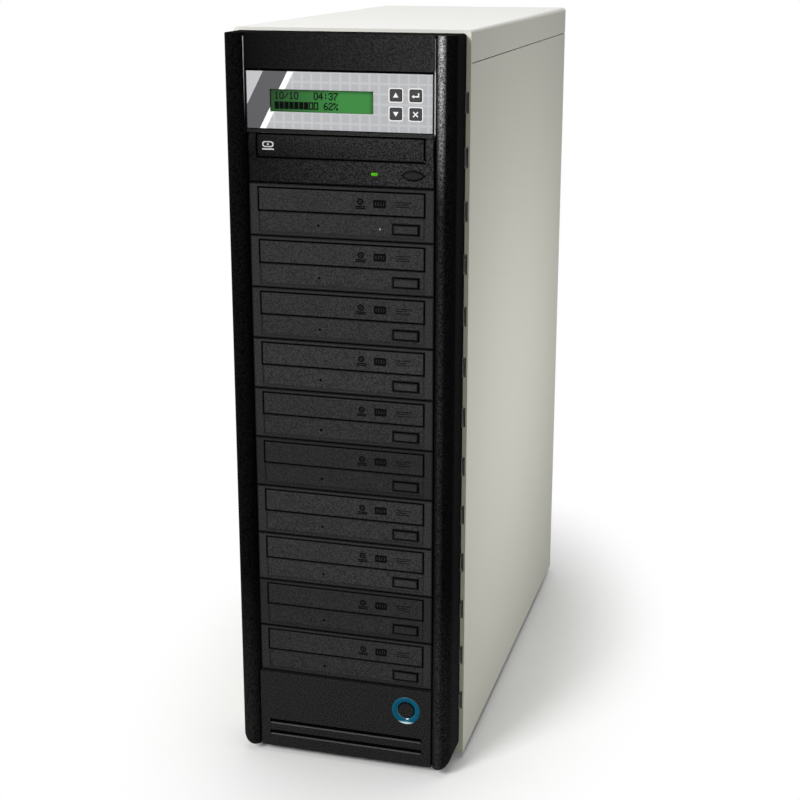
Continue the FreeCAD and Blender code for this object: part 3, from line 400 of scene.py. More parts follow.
DOOR = (0, 133.8, DOOR_RISE, 18.2, 0.7, 0.05)
DRIVE = (0, 2 * FRONT_HALF, 20.35, 40.7, 0.7, 0.05)
BUTTON = (52.1, 20.4, 9.2, 7.5, 1.0, 0.03)
FIELD = (0, 133.0, 10.75, 16.3, 0.7, 0.55)
# The last two numbers paint a reflection that lightens the tone toward the right end: a little on the recorders,
# much on the reader.
shade_gaps(charcoal, (DOOR, DRIVE, BUTTON, FIELD), 0.92, 1.1)
shade_gaps(satin, (DOOR, DRIVE), 0.45, 2.6)
print("shade beside the gaps of", charcoal.material.name, "and", satin.material.name)

# %% [markdown]
# ### Printed foil of the control panel
# The panel is a plate with a screen-printed polyester foil: a light corner, a slanted dark band, a white
# stripe and a silver field with a faint grid of tiles. Each edge is a straight line in the panel's own
# millimetres, so the print is a few comparisons of x and z and needs no picture.

# %% Printed foil
TILE, LEAN, RIM_X = 7.6, 0.53, 73.2
panel_low, panel_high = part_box("control_panel")
foil = grained("screen_printed_foil", ("#B5B6B8", "#B9BABC"), 40, 2.4, 0.008, 0.4, 0.2, shine=0.3)
finishes["control_face"] = foil.material
tree, spot = foil.tree, axes(foil.tree)
across = maths(tree, "SUBTRACT", spot["X"], panel_low.x)
drop = maths(tree, "SUBTRACT", panel_high.z, spot["Z"])
off = []
for line in (across, drop):
    share = maths(tree, "FRACT", maths(tree, "DIVIDE", line, TILE * MM))
    off.append(distance(tree, share, 0.5))
tile = ramp(tree, maths(tree, "MAXIMUM", *off), 0.42, 0.36)
foil = blend(foil, tile, "#ABACAF")
slant = maths(tree, "MULTIPLY_ADD", drop, LEAN, across)
for edge, ink in ((39.0, "#F3F3F3"), (34.0, "#4E4E51"), (14.5, "#B4B4B7")):
    foil = blend(foil, maths(tree, "LESS_THAN", slant, edge * MM), ink)
rim = maths(tree, "GREATER_THAN", maths(tree, "ABSOLUTE", spot["X"]), RIM_X * MM)
foil = blend(foil, rim, "#141414")
print("foil is", [round((b - a) / MM, 1) for a, b in zip(panel_low, panel_high)], "mm, tiles", TILE, "mm")

# %% [markdown]
# ### Display, keys and lamps
# The display is a liquid crystal cell over a green light at its right: it glows by itself, less and less to
# the left, and it is smooth. The same falloff darkens its colour as painted shade, and at its top and right
# edges glow and colour are darkened further by painted shade from the rim of its window. The keys are dark
# silicone caps, nearly matt. The lamps are clear acrylic pins that carry light from the board, green in the
# reader and white in the one recorder that is at work.

# %% Backlit display and keys
GLASS_LEFT, GLASS_RIGHT, GLASS_TOP = -54.6, 27.4, 562.7
FADE_LEFT, RIM_SHADE_RIGHT, RIM_SHADE_TOP = 57, 4, 3.2
display = grained("backlit_lcd_glass", ("#245A27", "#275E2B"), 30, 3.0, 0.002, 0.2, shine=0.2,
                  **{"Emission Strength": 0.55})
finishes["display"] = display.material
tree, spot = display.tree, axes(display.tree)
left = ramp(tree, spot["X"], GLASS_LEFT * MM, (GLASS_LEFT + FADE_LEFT) * MM, low=0.25)
# Painted shade from the rim of the window at the right and top edges.
right = ramp(tree, spot["X"], GLASS_RIGHT * MM, (GLASS_RIGHT - RIM_SHADE_RIGHT) * MM, low=0.4)
top = ramp(tree, spot["Z"], GLASS_TOP * MM, (GLASS_TOP - RIM_SHADE_TOP) * MM, low=0.35)
glow_and_shade = maths(tree, "MULTIPLY", maths(tree, "MULTIPLY", left, right), top)
light = knot(tree, "ShaderNodeVectorMath", {0: tint("#37803A")[:3], "Scale": glow_and_shade}, operation="SCALE")
tree.links.new(light.outputs["Vector"], display.shader.inputs["Emission Color"])
# Painted shade: the colour darkens with the same falloff as the glow.
scale_tone(display, glow_and_shade)
finishes["key_plastic"] = grained("moulded_silicone_key", ("#303032", "#373739"), 6, 1.2, 0.02, 0.55,
                                  shine=0.25).material
print("display glows from", GLASS_LEFT, "to", GLASS_RIGHT, "mm")

# %% Light pipes
LAMP_X, LAMP_CORE = 31.5, 0.55
finishes["lamp_green"] = grained("green_acrylic_light_pipe", ("#2F6A0E", "#357512"), 3, 1.5, 0.004, 0.25,
                                 shine=0.08, **{"Emission Color": tint("#4BA808"),
                                                "Emission Strength": 0.6}).material
pipe = grained("clear_acrylic_light_pipe", ("#2A2B2A", "#343634"), 3, 1.5, 0.004, 0.2, shine=0.15,
               **{"Emission Color": tint("#8F9290")})
finishes["lamp_clear"] = pipe.material
tree, spot = pipe.tree, axes(pipe.tree)
tenth = maths(tree, "GREATER_THAN", spot["Z"], (FIRST_BAY + 9 * BAY) * MM)
core = maths(tree, "LESS_THAN", distance(tree, spot["X"], LAMP_X * MM), LAMP_CORE * MM)
at_work = maths(tree, "MULTIPLY", tenth, core)
tree.links.new(at_work.outputs["Value"], pipe.shader.inputs["Emission Strength"])
print("the tenth recorder's lamp is lit")

# %% [markdown]
# ### Blue ring, metals, boards and rubber
# The ring round the power button is tinted clear plastic. Its rim is polished, so it has deep colour and
# sharp glints. The light that goes in at its top gathers in the lower rim, and that is drawn as a painted
# highlight: a pale spot low on the ring. The drives, the cage and the power supply are zinc-plated sheet:
# grey, slightly bluish, with the spangle of the crystals about 12 mm across. The pins of the inlet are brass
# with a bright, warm coat of nickel. The boards wear a green lacquer, the feet are dull rubber.

# %% Blue ring
SPOT_STARTS, SPOT_FULL = 46.4, 45.0
clear_blue = grained("moulded_blue_acrylic", ("#00485F", "#005D78"), 8, 3.0, 0.003, 0.2, shine=0.06)
rim_blue = grained("polished_blue_acrylic", ("#003A52", "#004660"), 8, 3.0, 0.003, 0.06, shine=1.0)
for blue in (clear_blue, rim_blue):
    # Painted highlight: a pale spot in the lowest part of the ring.
    gathered = ramp(blue.tree, axes(blue.tree)["Z"], SPOT_STARTS * MM, SPOT_FULL * MM)
    blend(blue, gathered, "#D8EEF5")
finishes["ring_blue"] = clear_blue.material
print("ring:", clear_blue.material.name, "and its rim:", rim_blue.material.name)

# %% Metals, boards and rubber
SPANGLE = 12
zinc = grained("zinc_plated_steel", ("#A9ACAE", "#BBBEC0"), SPANGLE, 1.5, 0.006, 0.38, Metallic=1.0)
flake = knot(zinc.tree, "ShaderNodeTexVoronoi", {"Vector": place_of(zinc.tree), "Scale": 1 / (SPANGLE * MM)})
scale_tone(zinc, ramp(zinc.tree, flake.outputs["Color"], 0, 1, 0.9, 1.06))
finishes["zinc_steel"] = zinc.material
nickel = grained("nickel_plated_brass", ("#C2BEB4", "#CBC7BD"), 4, 1.2, 0.003, 0.25, Metallic=1.0).material
finishes["circuit_board"] = grained("green_board_lacquer", ("#1F5A33", "#27683D"), 9, 1.8, 0.03, 0.35,
                                    IOR=1.5).material
finishes["rubber"] = grained("moulded_rubber", ("#191919", "#212121"), 9, 1.4, 0.06, 0.75, shine=0.3).material
print(len(finishes), "finishes for the record's slots")

# %% [markdown]
# ## Dressing the solids
# Each solid carries the name of its slot, so one loop hands out the finishes. A few solids then get a finish
# of their own. Some have more than one material: a disc tray has its grey door moulded on to a black
# carrier and the inlet has plated pins. Painted shade goes into the grooves of the power panel and on to the
# faces that look up of the top panel and of the pillars under the cover, painted light on to the top of the
# cover, and a painted highlight on to the front of the right pillar. Their faces are told apart by which way
# they look and where they lie.

# %% Finishes on the solids
# The reader's button was polished in the mould, so it has a smooth half-gloss among the grained parts.
gloss_black = grained("gloss_black_abs", ("#1C1C1C", "#262626"), 6, 1.2, 0.01, 0.3, shine=0.06).material
# Painted shade: plastic at the bottom of a gap or under the cover gets no light, so it is drawn as a plain matt
# black.
sunk = grained("painted_shade_black_abs", ("#020202", "#050505"), 5, 1.3, 0.01, 0.9, shine=0.01).material
for solid in nodes.values():
    solid.data.materials[0] = finishes[solid.data.materials[0].name.split(".")[0]]
for name, own in (("top_panel", top_black.material), ("power_panel", panel_black), ("power_button", panel_black),
                  ("front_frame", cream.material), ("reader_eject", gloss_black)):
    nodes[name].data.materials[0] = own
print("solids dressed:", len(nodes))

# %% Finishes on some faces
GROOVES = ((17, 21.5), (27.4, 31.9))
GROOVE_DEPTH, GROOVE_HALF = -225.6, 70
DOOR_BACK = -217.9
PIN_X, PIN_Z, PIN_REACH = 43, 36, 9
PIN_FRONT, PIN_BACK = 210.2, 219.8


def dress_faces(name, finish, chosen):
    """Gives a further finish to the faces that are chosen by their normal and their middle in mm."""
    mesh = nodes[name].data
    mesh.materials.append(finish)
    faces = [face for face in mesh.polygons if chosen(face.normal, face.center / MM)]
    for face in faces:
        face.material_index = len(mesh.materials) - 1
    return len(faces)


def looks_up(normal, middle):
    """Whether a face looks up."""
    return normal.z > 0.7


def in_groove(normal, middle):
    """Whether a face of the power panel lies in a groove."""
    level = any(low < middle.z < high for low, high in GROOVES)
    return level and middle.y > GROOVE_DEPTH and abs(middle.x) < GROOVE_HALF


def on_pin(normal, middle):
    """Whether a face of the inlet belongs to a pin."""
    near = abs(middle.x - PIN_X) < PIN_REACH and abs(middle.z - PIN_Z) < PIN_REACH
    return near and PIN_FRONT < middle.y < PIN_BACK


# Painted shade on the faces that look up.
for name in ("top_panel", "left_pillar", "right_pillar"):
    dress_faces(name, sunk, looks_up)
# Painted light: the top of the cover gets the whiter copy of the paint.
dress_faces("top_cover", top_lit_paint, looks_up)
# Painted highlight on the faces of the right pillar that look forward.
dress_faces("right_pillar", highlit_pillar.material, lambda normal, middle: normal.y < -0.05)
dress_faces("power_panel", sunk, in_groove)
for name in nodes:
    if "_tray" in name:
        dress_faces(name, carrier, lambda normal, middle: middle.y > DOOR_BACK)
print("pins:", dress_faces("inlet_module", nickel, on_pin), "plated faces")

# %% [markdown]
# ### Eased edges
# No moulded or folded part has a knife edge. Real ones have a radius of some tenths of a millimetre, and
# it is that thin bright line which tells the eye where a door ends. The solids keep their sharp corners,
# and a stack of modifiers rounds them: weld the seams, merge the flat triangles, bevel, and fix the normals.

# %% Eased edges
def ease_edges(name, width):
    """Rounds the sharp edges of a solid by a width in mm."""
    solid = nodes[name]
    weld = solid.modifiers.new("weld", "WELD")
    weld.merge_threshold = 2e-6
    flat = solid.modifiers.new("flat", "DECIMATE")
    flat.decimate_type = "DISSOLVE"
    flat.angle_limit = math.radians(1)
    bevel = solid.modifiers.new("ease", "BEVEL")
    bevel.width = width * MM
    bevel.segments = 2
    bevel.limit_method = "ANGLE"
    bevel.angle_limit = math.radians(40)
    bevel.harden_normals = True


FINE, FULL = 0.3, 0.4
for name in nodes:
    if name.startswith(("recorder_tray", "recorder_eject", "reader_tray", "reader_eject", "key_")):
        ease_edges(name, FINE)
for name in ("recorder_bezels", "reader_bezel", "control_panel", "top_panel", "power_panel"):
    ease_edges(name, FINE)
for name in ("left_pillar", "right_pillar", "top_cover", "left_side_panel", "right_side_panel"):
    ease_edges(name, FULL)
print(sum(bool(solid.modifiers) for solid in nodes.values()), "solids with eased edges")

# %% [markdown]
# ## Small parts
# What is left is too small or too thin for the solid model: prints, marks, screws and clips. Each is drawn
# as an outline in millimetres on a plane that looks out of the front or the back, raised to a thin prism
# or turned on a lathe, and then rides on the body that carries it.

# %% Drawing tools
FRONT = Matrix(((1, 0, 0, 0), (0, 0, -1, 0), (0, 1, 0, 0), (0, 0, 0, 1)))
REAR = Matrix(((-1, 0, 0, 0), (0, 0, 1, 0), (0, 1, 0, 0), (0, 0, 0, 1)))


def at(x, y, z, turn=FRONT):
    """A drawing plane in mm whose middle is at a point of the tower."""
    return Matrix.Translation(Vector((x, y, z)) * MM) @ turn @ Matrix.Scale(MM, 4)


def rounded(width, height, radius, steps=4):
    """The outline of a rectangle with round corners."""
    points = []
    for corner, (right, up) in enumerate(((1, 1), (-1, 1), (-1, -1), (1, -1))):
        for step in range(steps + 1):
            angle = math.pi / 2 * (corner + step / steps)
            points.append((right * (width / 2 - radius) + radius * math.cos(angle),
                           up * (height / 2 - radius) + radius * math.sin(angle)))
    return points


def moved(outline, x, y):
    """The same outline with its middle elsewhere."""
    return [(a + x, b + y) for a, b in outline]


def circle(radius, steps=24):
    """The outline of a circle."""
    angles = [math.tau * i / steps for i in range(steps)]
    return [(radius * math.cos(angle), radius * math.sin(angle)) for angle in angles]


def lens_shape(half_width, half_height, steps=12):
    """The outline of a lens: two shallow arcs that meet in points."""
    arc = [(half_width * i / steps, half_height * (1 - (i / steps) ** 2)) for i in range(steps, -steps, -1)]
    return arc + [(-x, -y) for x, y in arc]


print("a rounded key outline has", len(rounded(9, 9, 1)), "points")

# %% Prism and lathe
def prism(bm, outline, place, low, high, hole=None, ease=0.0):
    """Raises an outline to a solid with straight sides; a hole of as many points makes it a frame."""
    count = len(outline)
    rings = [[bm.verts.new(place @ Vector((x, y, level))) for x, y in points]
             for points in (outline, hole) if points for level in (low, high)]

    def wall(a, b):
        for i in range(count):
            bm.faces.new((a[i], a[(i + 1) % count], b[(i + 1) % count], b[i]))

    wall(rings[0], rings[1])
    if hole:
        wall(rings[3], rings[2])
        wall(rings[1], rings[3])
        wall(rings[2], rings[0])
    else:
        bm.faces.new(rings[0][::-1])
        bm.faces.new(rings[1])
    if ease:
        rim = [bm.edges.get((ring[i], ring[(i + 1) % count])) for ring in rings[1::2] for i in range(count)]
        bmesh.ops.bevel(bm, geom=rim, offset=ease * MM, segments=2, profile=0.5, affect="EDGES")


def lathe(bm, profile, place, start=0.0, stop=360.0, steps=40):
    """Turns a profile of (radius, height) points about the middle of the drawing plane."""
    full = stop - start >= 360
    spokes = []
    for i in range(steps if full else steps + 1):
        angle = math.radians(start + (stop - start) * i / steps)
        points = [Vector((r * math.cos(angle), r * math.sin(angle), h)) for r, h in profile]
        spokes.append([bm.verts.new(place @ point) for point in points])
    for a, b in zip(spokes, spokes[1:] + spokes[:1] if full else spokes[1:]):
        for i in range(len(profile)):
            j = (i + 1) % len(profile)
            bm.faces.new((a[i], b[i], b[j], a[j]))
    if not full:
        bm.faces.new(spokes[0])
        bm.faces.new(spokes[-1][::-1])


print("drawing tools ready")

# %% Pieces
def piece(name, bm, finish, body):
    """Makes a mesh object of the drawing, gives it its finish and lets it ride on a body."""
    bmesh.ops.remove_doubles(bm, verts=bm.verts, dist=1e-7)
    bmesh.ops.recalc_face_normals(bm, faces=bm.faces)
    mesh = bpy.data.meshes.new(name)
    bm.to_mesh(mesh)
    bm.free()
    mesh.materials.append(finish)
    mesh.shade_smooth()
    mesh.set_sharp_from_angle(angle=math.radians(35))
    part = bpy.data.objects.new(name, mesh)
    scene.collection.objects.link(part)
    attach(part, body)
    return part


def plate(name, finish, body, slot, outline, place, low, high, **shape):
    """A piece that is a single prism."""
    bm = bmesh.new()
    prism(bm, outline, place, low, high, **shape)
    return piece(name, bm, finish, body)


print("pieces can ride")

# %% [markdown]
# ### The blue ring
# The ring is a turned shape: a flat shoulder, a round crown and a long slope in to the button. A lathe
# profile gives the slope and the crown that catch the light, where the solid has a plain ring. The outer rim
# and the bore are polished, and the slope between them is as it left the mould.

# %% Blue ring piece
POWER_X, POWER_Z = 53.5, 55.7
SLOPE_RADIUS, SLOPE_REACH = 9.6, 2.0
RING = ((11.75, -7.9), (11.75, -0.4), (12.2, -0.3), (12.15, 0.05), (11.85, 0.5), (11.3, 0.75), (10.6, 0.85),
        (9.8, 0.75), (9.0, 0.35), (7.8, -0.3), (7.3, -0.7), (6.9, -1.2), (6.7, -1.8), (6.7, -8.0))
bm = bmesh.new()
lathe(bm, RING, at(POWER_X, FRONT_FACE, POWER_Z), steps=64)
ring = piece("power_button_ring", bm, finishes["ring_blue"], "tower")
ring.data.materials.append(rim_blue.material)
for face in ring.data.polygons:
    radius = math.hypot(face.center.x / MM - POWER_X, face.center.z / MM - POWER_Z)
    face.material_index = int(abs(radius - SLOPE_RADIUS) > SLOPE_REACH)
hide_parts("power_ring")
print(ring.name, len(ring.data.polygons), "faces")

# %% [markdown]
# ### The display's dots
# A character display has cells of five by seven dots. Only figures and a progress bar are shown, and each
# dot is a small square that lies on the glass. Its crystal blocks the light, so it is nearly black.

# %% Display dots
CELLS = {
    "0": "01110 10001 10001 10001 10001 10001 01110", "1": "00100 01100 00100 00100 00100 00100 01110",
    "2": "01110 10001 00001 00110 01000 10000 11111", "3": "01110 10001 00001 00110 00001 10001 01110",
    "4": "00010 00110 01010 10010 11111 00010 00010", "6": "00110 01000 10000 11110 10001 10001 01110",
    "7": "11111 00001 00010 00100 01000 01000 01000", ":": "00000 00100 00100 00000 00100 00100 00000",
    "/": "00000 00001 00010 00100 01000 10000 00000", "%": "11000 11001 00010 00100 01000 10011 00011",
    "#": "11111 11111 11111 11111 11111 11111 11111", "-": "11111 10001 10001 10001 10001 10001 11111"}
GLASS_FACE, FIRST_X, FIRST_Z = -224, -51.0, 560.3
CELL_STEP, LINE_STEP, DOT_STEP, ROW_STEP, DOT_HALF = 3.93, 7.4, 0.66, 0.78, 0.52
crystal = grained("dark_liquid_crystal", ("#041509", "#06190B"), 5, 1.2, 0.001, 0.5, shine=0.1).material
corners = [Vector((DOT_HALF * x, DOT_HALF * y, 0.05)) for x, y in ((-1, -1), (1, -1), (1, 1), (-1, 1))]
bm = bmesh.new()
for line, text in enumerate(("10/10   04:37", "#######-- 62%")):
    for cell, sign in enumerate(text):
        for row, bits in enumerate(CELLS.get(sign, "").split()):
            for dot, bit in enumerate(bits):
                if bit == "1":
                    place = at(FIRST_X + CELL_STEP * cell + DOT_STEP * dot, GLASS_FACE,
                               FIRST_Z - LINE_STEP * line - ROW_STEP * row)
                    bm.faces.new([bm.verts.new(place @ corner) for corner in corners])
dots = piece("display_dots", bm, crystal, "tower")
print(dots.name, len(dots.data.polygons), "dots")

# %% [markdown]
# ### Key frames and signs
# A white line is printed round each key, and a sign on its cap: up, down, confirm and cancel. The frame
# belongs to the panel, while the sign goes in and out with the key. Printed ink lies as a thin matt film
# with crisp edges.

# %% Key frames and signs
white_ink = grained("screen_printed_white_ink", ("#E6E6E4", "#EEEEEC"), 5, 1.2, 0.003, 0.5, shine=0.2).material
SIGNS = {
    "up": ((-2.1, -1.5), (2.1, -1.5), (0, 2.1)), "down": ((2.1, 1.5), (-2.1, 1.5), (0, -2.1)),
    "enter": ((-3, -0.6), (-1.2, -2.0), (-1.2, -1.1), (2.8, -1.1), (2.8, 2.0), (1.8, 2.0), (1.8, -0.1),
              (-1.2, -0.1), (-1.2, 0.8)),
    "escape": ((0, 0.65), (1.5, 2.15), (2.15, 1.5), (0.65, 0), (2.15, -1.5), (1.5, -2.15), (0, -0.65),
               (-1.5, -2.15), (-2.15, -1.5), (-0.65, 0), (-2.15, 1.5), (-1.5, 2.15))}
frames = bmesh.new()
for key, outline in SIGNS.items():
    low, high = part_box(f"key_{key}")
    x, z = (low.x + high.x) / 2 / MM, (low.z + high.z) / 2 / MM
    prism(frames, rounded(11.4, 11.0, 1.9), at(x, FOIL_FACE, z), -0.1, 0.06, hole=rounded(9.8, 9.4, 1.2))
    plate(f"key_{key}_sign", white_ink, f"key_{key}_cap", "key_plastic", outline,
          at(x, FRONT_FACE, z), -0.05, 0.05)
frames = piece("key_frames", frames, white_ink, "tower")
print(frames.name, len(frames.data.polygons), "faces, signs:", list(SIGNS))

# %% [markdown]
# ### Marks and pinholes of the drives
# Recorder doors carry small pictures sunk into the plastic, and so dark that they show only from near: a
# disc, a card and three lines stand in for them. A pinhole under each door takes a wire that frees a stuck
# tray; it is drawn as a dark disc of painted shade. The reader has a disc sign in grey ink at the left end
# of its door, a dark gap of painted shade round its lens-shaped button, a ring of painted shade round the
# rim of the button and a lamp with round ends.

# %% Marks and pinholes of the recorders
DOOR_FACE, FIELD_FACE = -223.3, -222.65
DISC_X, CARD_X, LINES_X = 16, 31.4, 44
PINHOLE_X, PINHOLE_RISE = -18.2, 9.3
# A sunk mark is matt and only a shade darker than the door, so it hides from a distance.
mark_black = grained("sunk_mark_abs", ("#0A0A0A", "#101010"), 5, 1.3, 0.01, 0.9, shine=0.01).material


def mark(bm, place, outline, x, z, hole=None, high=0.04):
    """Draws one mark of a door."""
    prism(bm, moved(outline, x, z), place, -0.1, high, hole=hole and moved(hole, x, z))


pinholes = bmesh.new()
for drive in range(RECORDERS):
    bay = FIRST_BAY + BAY * drive
    # Each pinhole is a dark disc of painted shade.
    prism(pinholes, circle(1.05, 12), at(PINHOLE_X, FIELD_FACE, bay + PINHOLE_RISE), -0.2, 0.03)
    bm = bmesh.new()
    place = at(0, DOOR_FACE, bay + DOOR_RISE)
    mark(bm, place, circle(2.6), DISC_X, 1.2, hole=circle(1.3))
    mark(bm, place, circle(0.8), DISC_X, 1.2)
    for line in (-2.5, -3.9):
        mark(bm, place, rounded(8.0, 1.0, 0.2, 1), DISC_X, line)
    mark(bm, place, rounded(10.0, 6.4, 1.0), CARD_X, 0, hole=rounded(6.8, 2.6, 0.4))
    for bar in (-2.1, 0, 2.1):
        mark(bm, place, rounded(1.5, 2.4, 0.2, 1), CARD_X + bar, 0)
    for line, long in ((1.8, 13.0), (0, 9.6), (-1.8, 11.8)):
        mark(bm, place, rounded(long, 0.6, 0.2, 1), LINES_X + long / 2, line, high=0.03)
    piece(f"door_marks_{drive + 1:02d}", bm, mark_black, f"disc_tray_{drive + 1:02d}")
pinholes = piece("eject_pinholes", pinholes, sunk, "tower")
print(pinholes.name, len(pinholes.data.polygons), "faces, marks on", RECORDERS, "doors")

# %% Sign, button and lamp of the reader
CREST_FACE, EJECT_FACE = -224.4, -223.8
SIGN_X, EJECT_X, GREEN_X = -57.5, 58, 27.2
EJECT_Z = READER_BAY + BUTTON_RISE
grey_ink = grained("pad_printed_grey_ink", ("#B4B4B2", "#BCBCBA"), 5, 1.2, 0.003, 0.5, shine=0.2).material
bm = bmesh.new()
place = at(SIGN_X, CREST_FACE, READER_BAY + DOOR_RISE)
prism(bm, moved(rounded(9.4, 4.6, 2.2, 6), 0, 1.2), place, -0.6, 0.04,
      hole=moved(rounded(7.0, 2.8, 1.3, 6), 0, 1.2))
prism(bm, moved(circle(0.8), 0, 1.2), place, -0.6, 0.04)
prism(bm, moved(rounded(9.8, 1.1, 0.3, 2), 0, -2.6), place, -0.6, 0.04)
piece("reader_door_mark", bm, grey_ink, "disc_tray_reader")
# Painted shade: a dark ring in the gap round the button, and one round the rim of the button itself.
plate("reader_eject_gap", sunk, "tower", "reader_plastic", lens_shape(9.8, 4.3),
      at(EJECT_X, DRIVE_FACE, EJECT_Z), -0.2, 0.04, hole=lens_shape(8.5, 3.45))
plate("reader_eject_rim_shade", sunk, "eject_reader", "reader_plastic", lens_shape(8.2, 3.2),
      at(EJECT_X, EJECT_FACE, EJECT_Z), -0.1, 0.03, hole=lens_shape(7.6, 2.7))
lamp_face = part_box("reader_lamp")[0].y / MM
lamp = plate("reader_lamp_pin", finishes["lamp_green"], "tower", "lamp_green", rounded(5.4, 2.3, 1.1, 5),
             at(GREEN_X, lamp_face, EJECT_Z), -4.0, 0.1, ease=0.2)
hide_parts("reader_lamp")
print(lamp.name, len(lamp.data.polygons), "faces")

# %% [markdown]
# ### Lips of the grooves, beads of the pillars and the strip under the foil
# Two long grooves run across the power panel. The lower lip of each shines as a thin line: a bead with a
# round section along the lip catches the lamp as that edge does, and its grey tone is a painted highlight.
# A bead of vinyl closes the gap between each pillar and the control panel, and its pale tone is a painted
# highlight of the lamp along that edge: on the right one along the foil, on the left one only at its top,
# with black further down. Under the foil a strip of bare black plastic shows, with a painted reflection
# that makes it lighter to the right like the reader below it, and a dark joint above it.

# %% Groove lips
LIPS = (17.5, 27.9)
# Painted highlight: the lips are a lighter grey than the black panel.
lip_highlight = grained("painted_highlight_grey_abs", ("#3C3C3C", "#4A4A4A"), 12, 1.6, 0.02, 0.28, 0.4).material
bm = bmesh.new()
for lip in LIPS:
    prism(bm, rounded(132, 0.9, 0.4, 3), at(0, FRONT_FACE, lip - 0.2), -0.9, 0.35, ease=0.3)
lips = piece("groove_lips", bm, lip_highlight, "tower")
print(lips.name, len(lips.data.polygons), "faces")

# %% Pillar beads and the strip under the foil
BEAD_FACE, BEAD_MIDDLE, BEAD_LONG = -225.6, 565, 74
GLINT_FADES, GLINT_FULL = 540, 605
GREY_TOP, GREY_FOOT = (580, 576), (531, 533)
STRIP_Z, JOINT_Z, STRIP_WIDE = 530.9, 532.5, 148.0
vinyl = grained("extruded_vinyl_bead", ("#0A0A0A", "#101010"), 12, 1.4, 0.02, 0.35, 0.4, shine=0.1)
tree, spot = vinyl.tree, axes(vinyl.tree)
# Painted highlight: the bead is pale where the lamp glints along it, at the top on the left and along the foil
# on the right.
left_glint = ramp(tree, spot["Z"], GLINT_FADES * MM, GLINT_FULL * MM)
below_top = ramp(tree, spot["Z"], GREY_TOP[0] * MM, GREY_TOP[1] * MM, low=0.2)
over_foot = ramp(tree, spot["Z"], GREY_FOOT[0] * MM, GREY_FOOT[1] * MM)
along_foil = maths(tree, "MULTIPLY", below_top, over_foot)
on_right = maths(tree, "GREATER_THAN", spot["X"], 0.0)
bead_glint = knot(tree, "ShaderNodeMix", {"Factor": on_right, "A": left_glint, "B": along_foil})
blend(vinyl, bead_glint, "#B8B8B8")
bm = bmesh.new()
for x, wide in ((75.25, 0.9), (-75.3, 0.5)):
    prism(bm, rounded(wide, BEAD_LONG, 0.22, 3), at(x, BEAD_FACE, BEAD_MIDDLE), -1.0, 0.5, ease=0.2)
beads = piece("pillar_beads", bm, vinyl.material, "tower")
bare = grained("as_moulded_black_abs", ("#101010", "#262626"), 30, 1.1, 0.12, 0.5, 0.85, shine=0.03)
# Painted reflection: the tone gets lighter toward the right end.
scale_tone(bare, slope(bare.tree, 0.9, 2.6))
plate("panel_foot_strip", bare.material, "tower", "reader_plastic", rounded(STRIP_WIDE, 2.6, 0.1, 1),
      at(0, FOIL_FACE, STRIP_Z), -0.1, 0.06)
plate("panel_foot_joint", sunk, "tower", "reader_plastic", rounded(STRIP_WIDE, 0.7, 0.1, 1),
      at(0, FOIL_FACE, JOINT_Z), -0.1, 0.07)
print(beads.name, len(beads.data.polygons), "faces, strip at", STRIP_Z, "mm")

# %% [markdown]
# ### Snap tabs of the pillars
# The pillars have no screws. Each one clips into slots of the steel front, one slot for each bay. The tongue
# of the clip shows as a glossy grey bar in front of a black flange. Beside it the slot is in shade, and a
# dull olive plate there is painted shade.

# %% Snap tabs
FLANGE_X, TONGUE_X, SLOT_SHADE_X = 91.3, 91.75, 93.05
FLANGE_FACE, TONGUE_ROOT, SLOT_SHADE_ROOT, TIP_ROOT = -193.4, -193.5, -193.6, -196.5
tab_grey = grained("as_moulded_grey_abs", ("#767670", "#82827C"), 6, 1.4, 0.004, 0.25, shine=0.4).material
# Painted shade: a dark olive plate where the cream front lies in shade inside the slot.
slot_shade = grained("shade_painted_cream_steel", ("#4A4A3C", "#525244"), 20, 1.6, 0.02, 0.6, 0.3,
                 shine=0.08).material
tongue = rounded(0.7, 12.4, 0.3, 2)
flanges, plates, tabs = bmesh.new(), bmesh.new(), bmesh.new()
for side in (1, -1):
    for bay in range(-1, RECORDERS + 2):
        middle = FIRST_BAY + BAY * (bay + 0.5)
        prism(flanges, rounded(4.4, 17.6, 0.6, 2), at(side * FLANGE_X, FLANGE_FACE, middle), -0.8, 0.0)
        prism(flanges, tongue, at(side * TONGUE_X, TONGUE_ROOT, middle), 0.0, 3.1)
        prism(plates, rounded(1.1, 15.4, 0.3, 2), at(side * SLOT_SHADE_X, SLOT_SHADE_ROOT, middle), 0.0, 1.0)
        prism(tabs, tongue, at(side * TONGUE_X, TIP_ROOT, middle), 0.0, 0.9, ease=0.25)
piece("pillar_flanges", flanges, finishes["pillar_plastic"], "tower")
piece("slot_shades", plates, slot_shade, "tower")
tabs = piece("pillar_snap_tabs", tabs, tab_grey, "tower")
print(tabs.name, len(tabs.data.polygons), "faces")

# %% [markdown]
# ### Rings of the disc trays
# A tray takes small discs as well as full ones, and a low ring on its floor keeps the small one in the middle.
# The ring stops where the opening for the pickup is.

# %% Tray rings
DISC_Y, RECESS_RISE = -152, 26.5
RING_STARTS, RING_STOPS = 119, 421
SMALL_RING = ((39.8, -0.2), (41.2, -0.2), (41.1, 0.3), (40.8, 0.5), (40.2, 0.5), (39.9, 0.3))
trays = [f"{number:02d}" for number in range(1, RECORDERS + 1)] + ["reader"]
for bay, tray in enumerate(trays):
    bm = bmesh.new()
    place = at(0, DISC_Y, FIRST_BAY + BAY * bay + RECESS_RISE, Matrix.Identity(4))
    lathe(bm, SMALL_RING, place, RING_STARTS, RING_STOPS, steps=48)
    piece(f"small_disc_ring_{tray}", bm, carrier, f"disc_tray_{tray}")
print(len(trays), "rings on the trays")

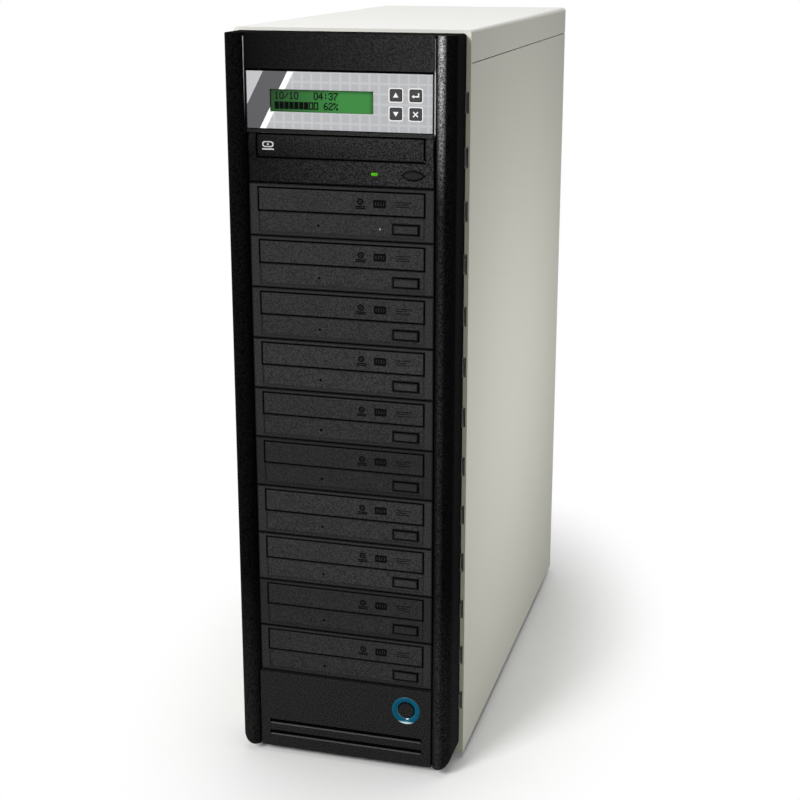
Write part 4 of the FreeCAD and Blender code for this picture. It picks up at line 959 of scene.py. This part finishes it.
# %% [markdown]
# ### Screws and switch signs at the back
# The fans are held by plated screws with domed heads and the covers by hexagon heads, and every head has a
# cross for the driver. The mains switch has a bar for on and a ring for off.

# %% Rear screws and signs
CROSS = ((-0.4, -1.9), (0.4, -1.9), (0.4, -0.4), (1.9, -0.4), (1.9, 0.4), (0.4, 0.4), (0.4, 1.9), (-0.4, 1.9),
         (-0.4, 0.4), (-1.9, 0.4), (-1.9, -0.4), (-0.4, -0.4))
HEAD = ((0.05, -0.5), (3.7, -0.5), (3.7, 0.3), (3.2, 1.2), (2.0, 1.9), (0.05, 2.1))
FAN_HEIGHTS, FAN_SCREW = (221, 421), 52.5
COVER_SCREWS = ((-88, 66), (88, 66), (-88, 521.9), (88, 521.9), (-50, 600), (50, 600))
REAR_FACE, DOME_FACE, COVER_HEAD_FACE = 224, 226.0, 229
ROCKER_X, ROCKER_TILT = 43, 20.1
ON_FACE, ON_Z, OFF_FACE, OFF_Z = 224.96, 69.3, 226.63, 59.9
heads, crosses = bmesh.new(), bmesh.new()
for fan in FAN_HEIGHTS:
    for right, up in ((-1, -1), (1, -1), (-1, 1), (1, 1)):
        x, z = right * FAN_SCREW, fan + up * FAN_SCREW
        lathe(heads, HEAD, at(x, REAR_FACE, z, REAR), steps=24)
        prism(crosses, CROSS, at(x, DOME_FACE, z, REAR), -0.3, 0.12)
for x, z in COVER_SCREWS:
    prism(crosses, CROSS, at(x, COVER_HEAD_FACE, z, REAR), -0.2, 0.04)
heads = piece("fan_screws", heads, zinc.material, "tower")
# The recesses of the crosses are drawn as dark prisms of painted shade.
crosses = piece("screw_recesses", crosses, sunk, "tower")
lean = Matrix.Rotation(math.radians(ROCKER_TILT), 4, "X") @ REAR
bm = bmesh.new()
prism(bm, rounded(0.9, 4.2, 0.2, 1), at(ROCKER_X, ON_FACE, ON_Z, REAR), -0.1, 0.05)
prism(bm, circle(2.1), at(ROCKER_X, OFF_FACE, OFF_Z, lean), -0.1, 0.05, hole=circle(1.35))
piece("rocker_signs", bm, white_ink, "mains_rocker")
print(heads.name, len(heads.data.polygons), "faces;", crosses.name, len(crosses.data.polygons), "faces")
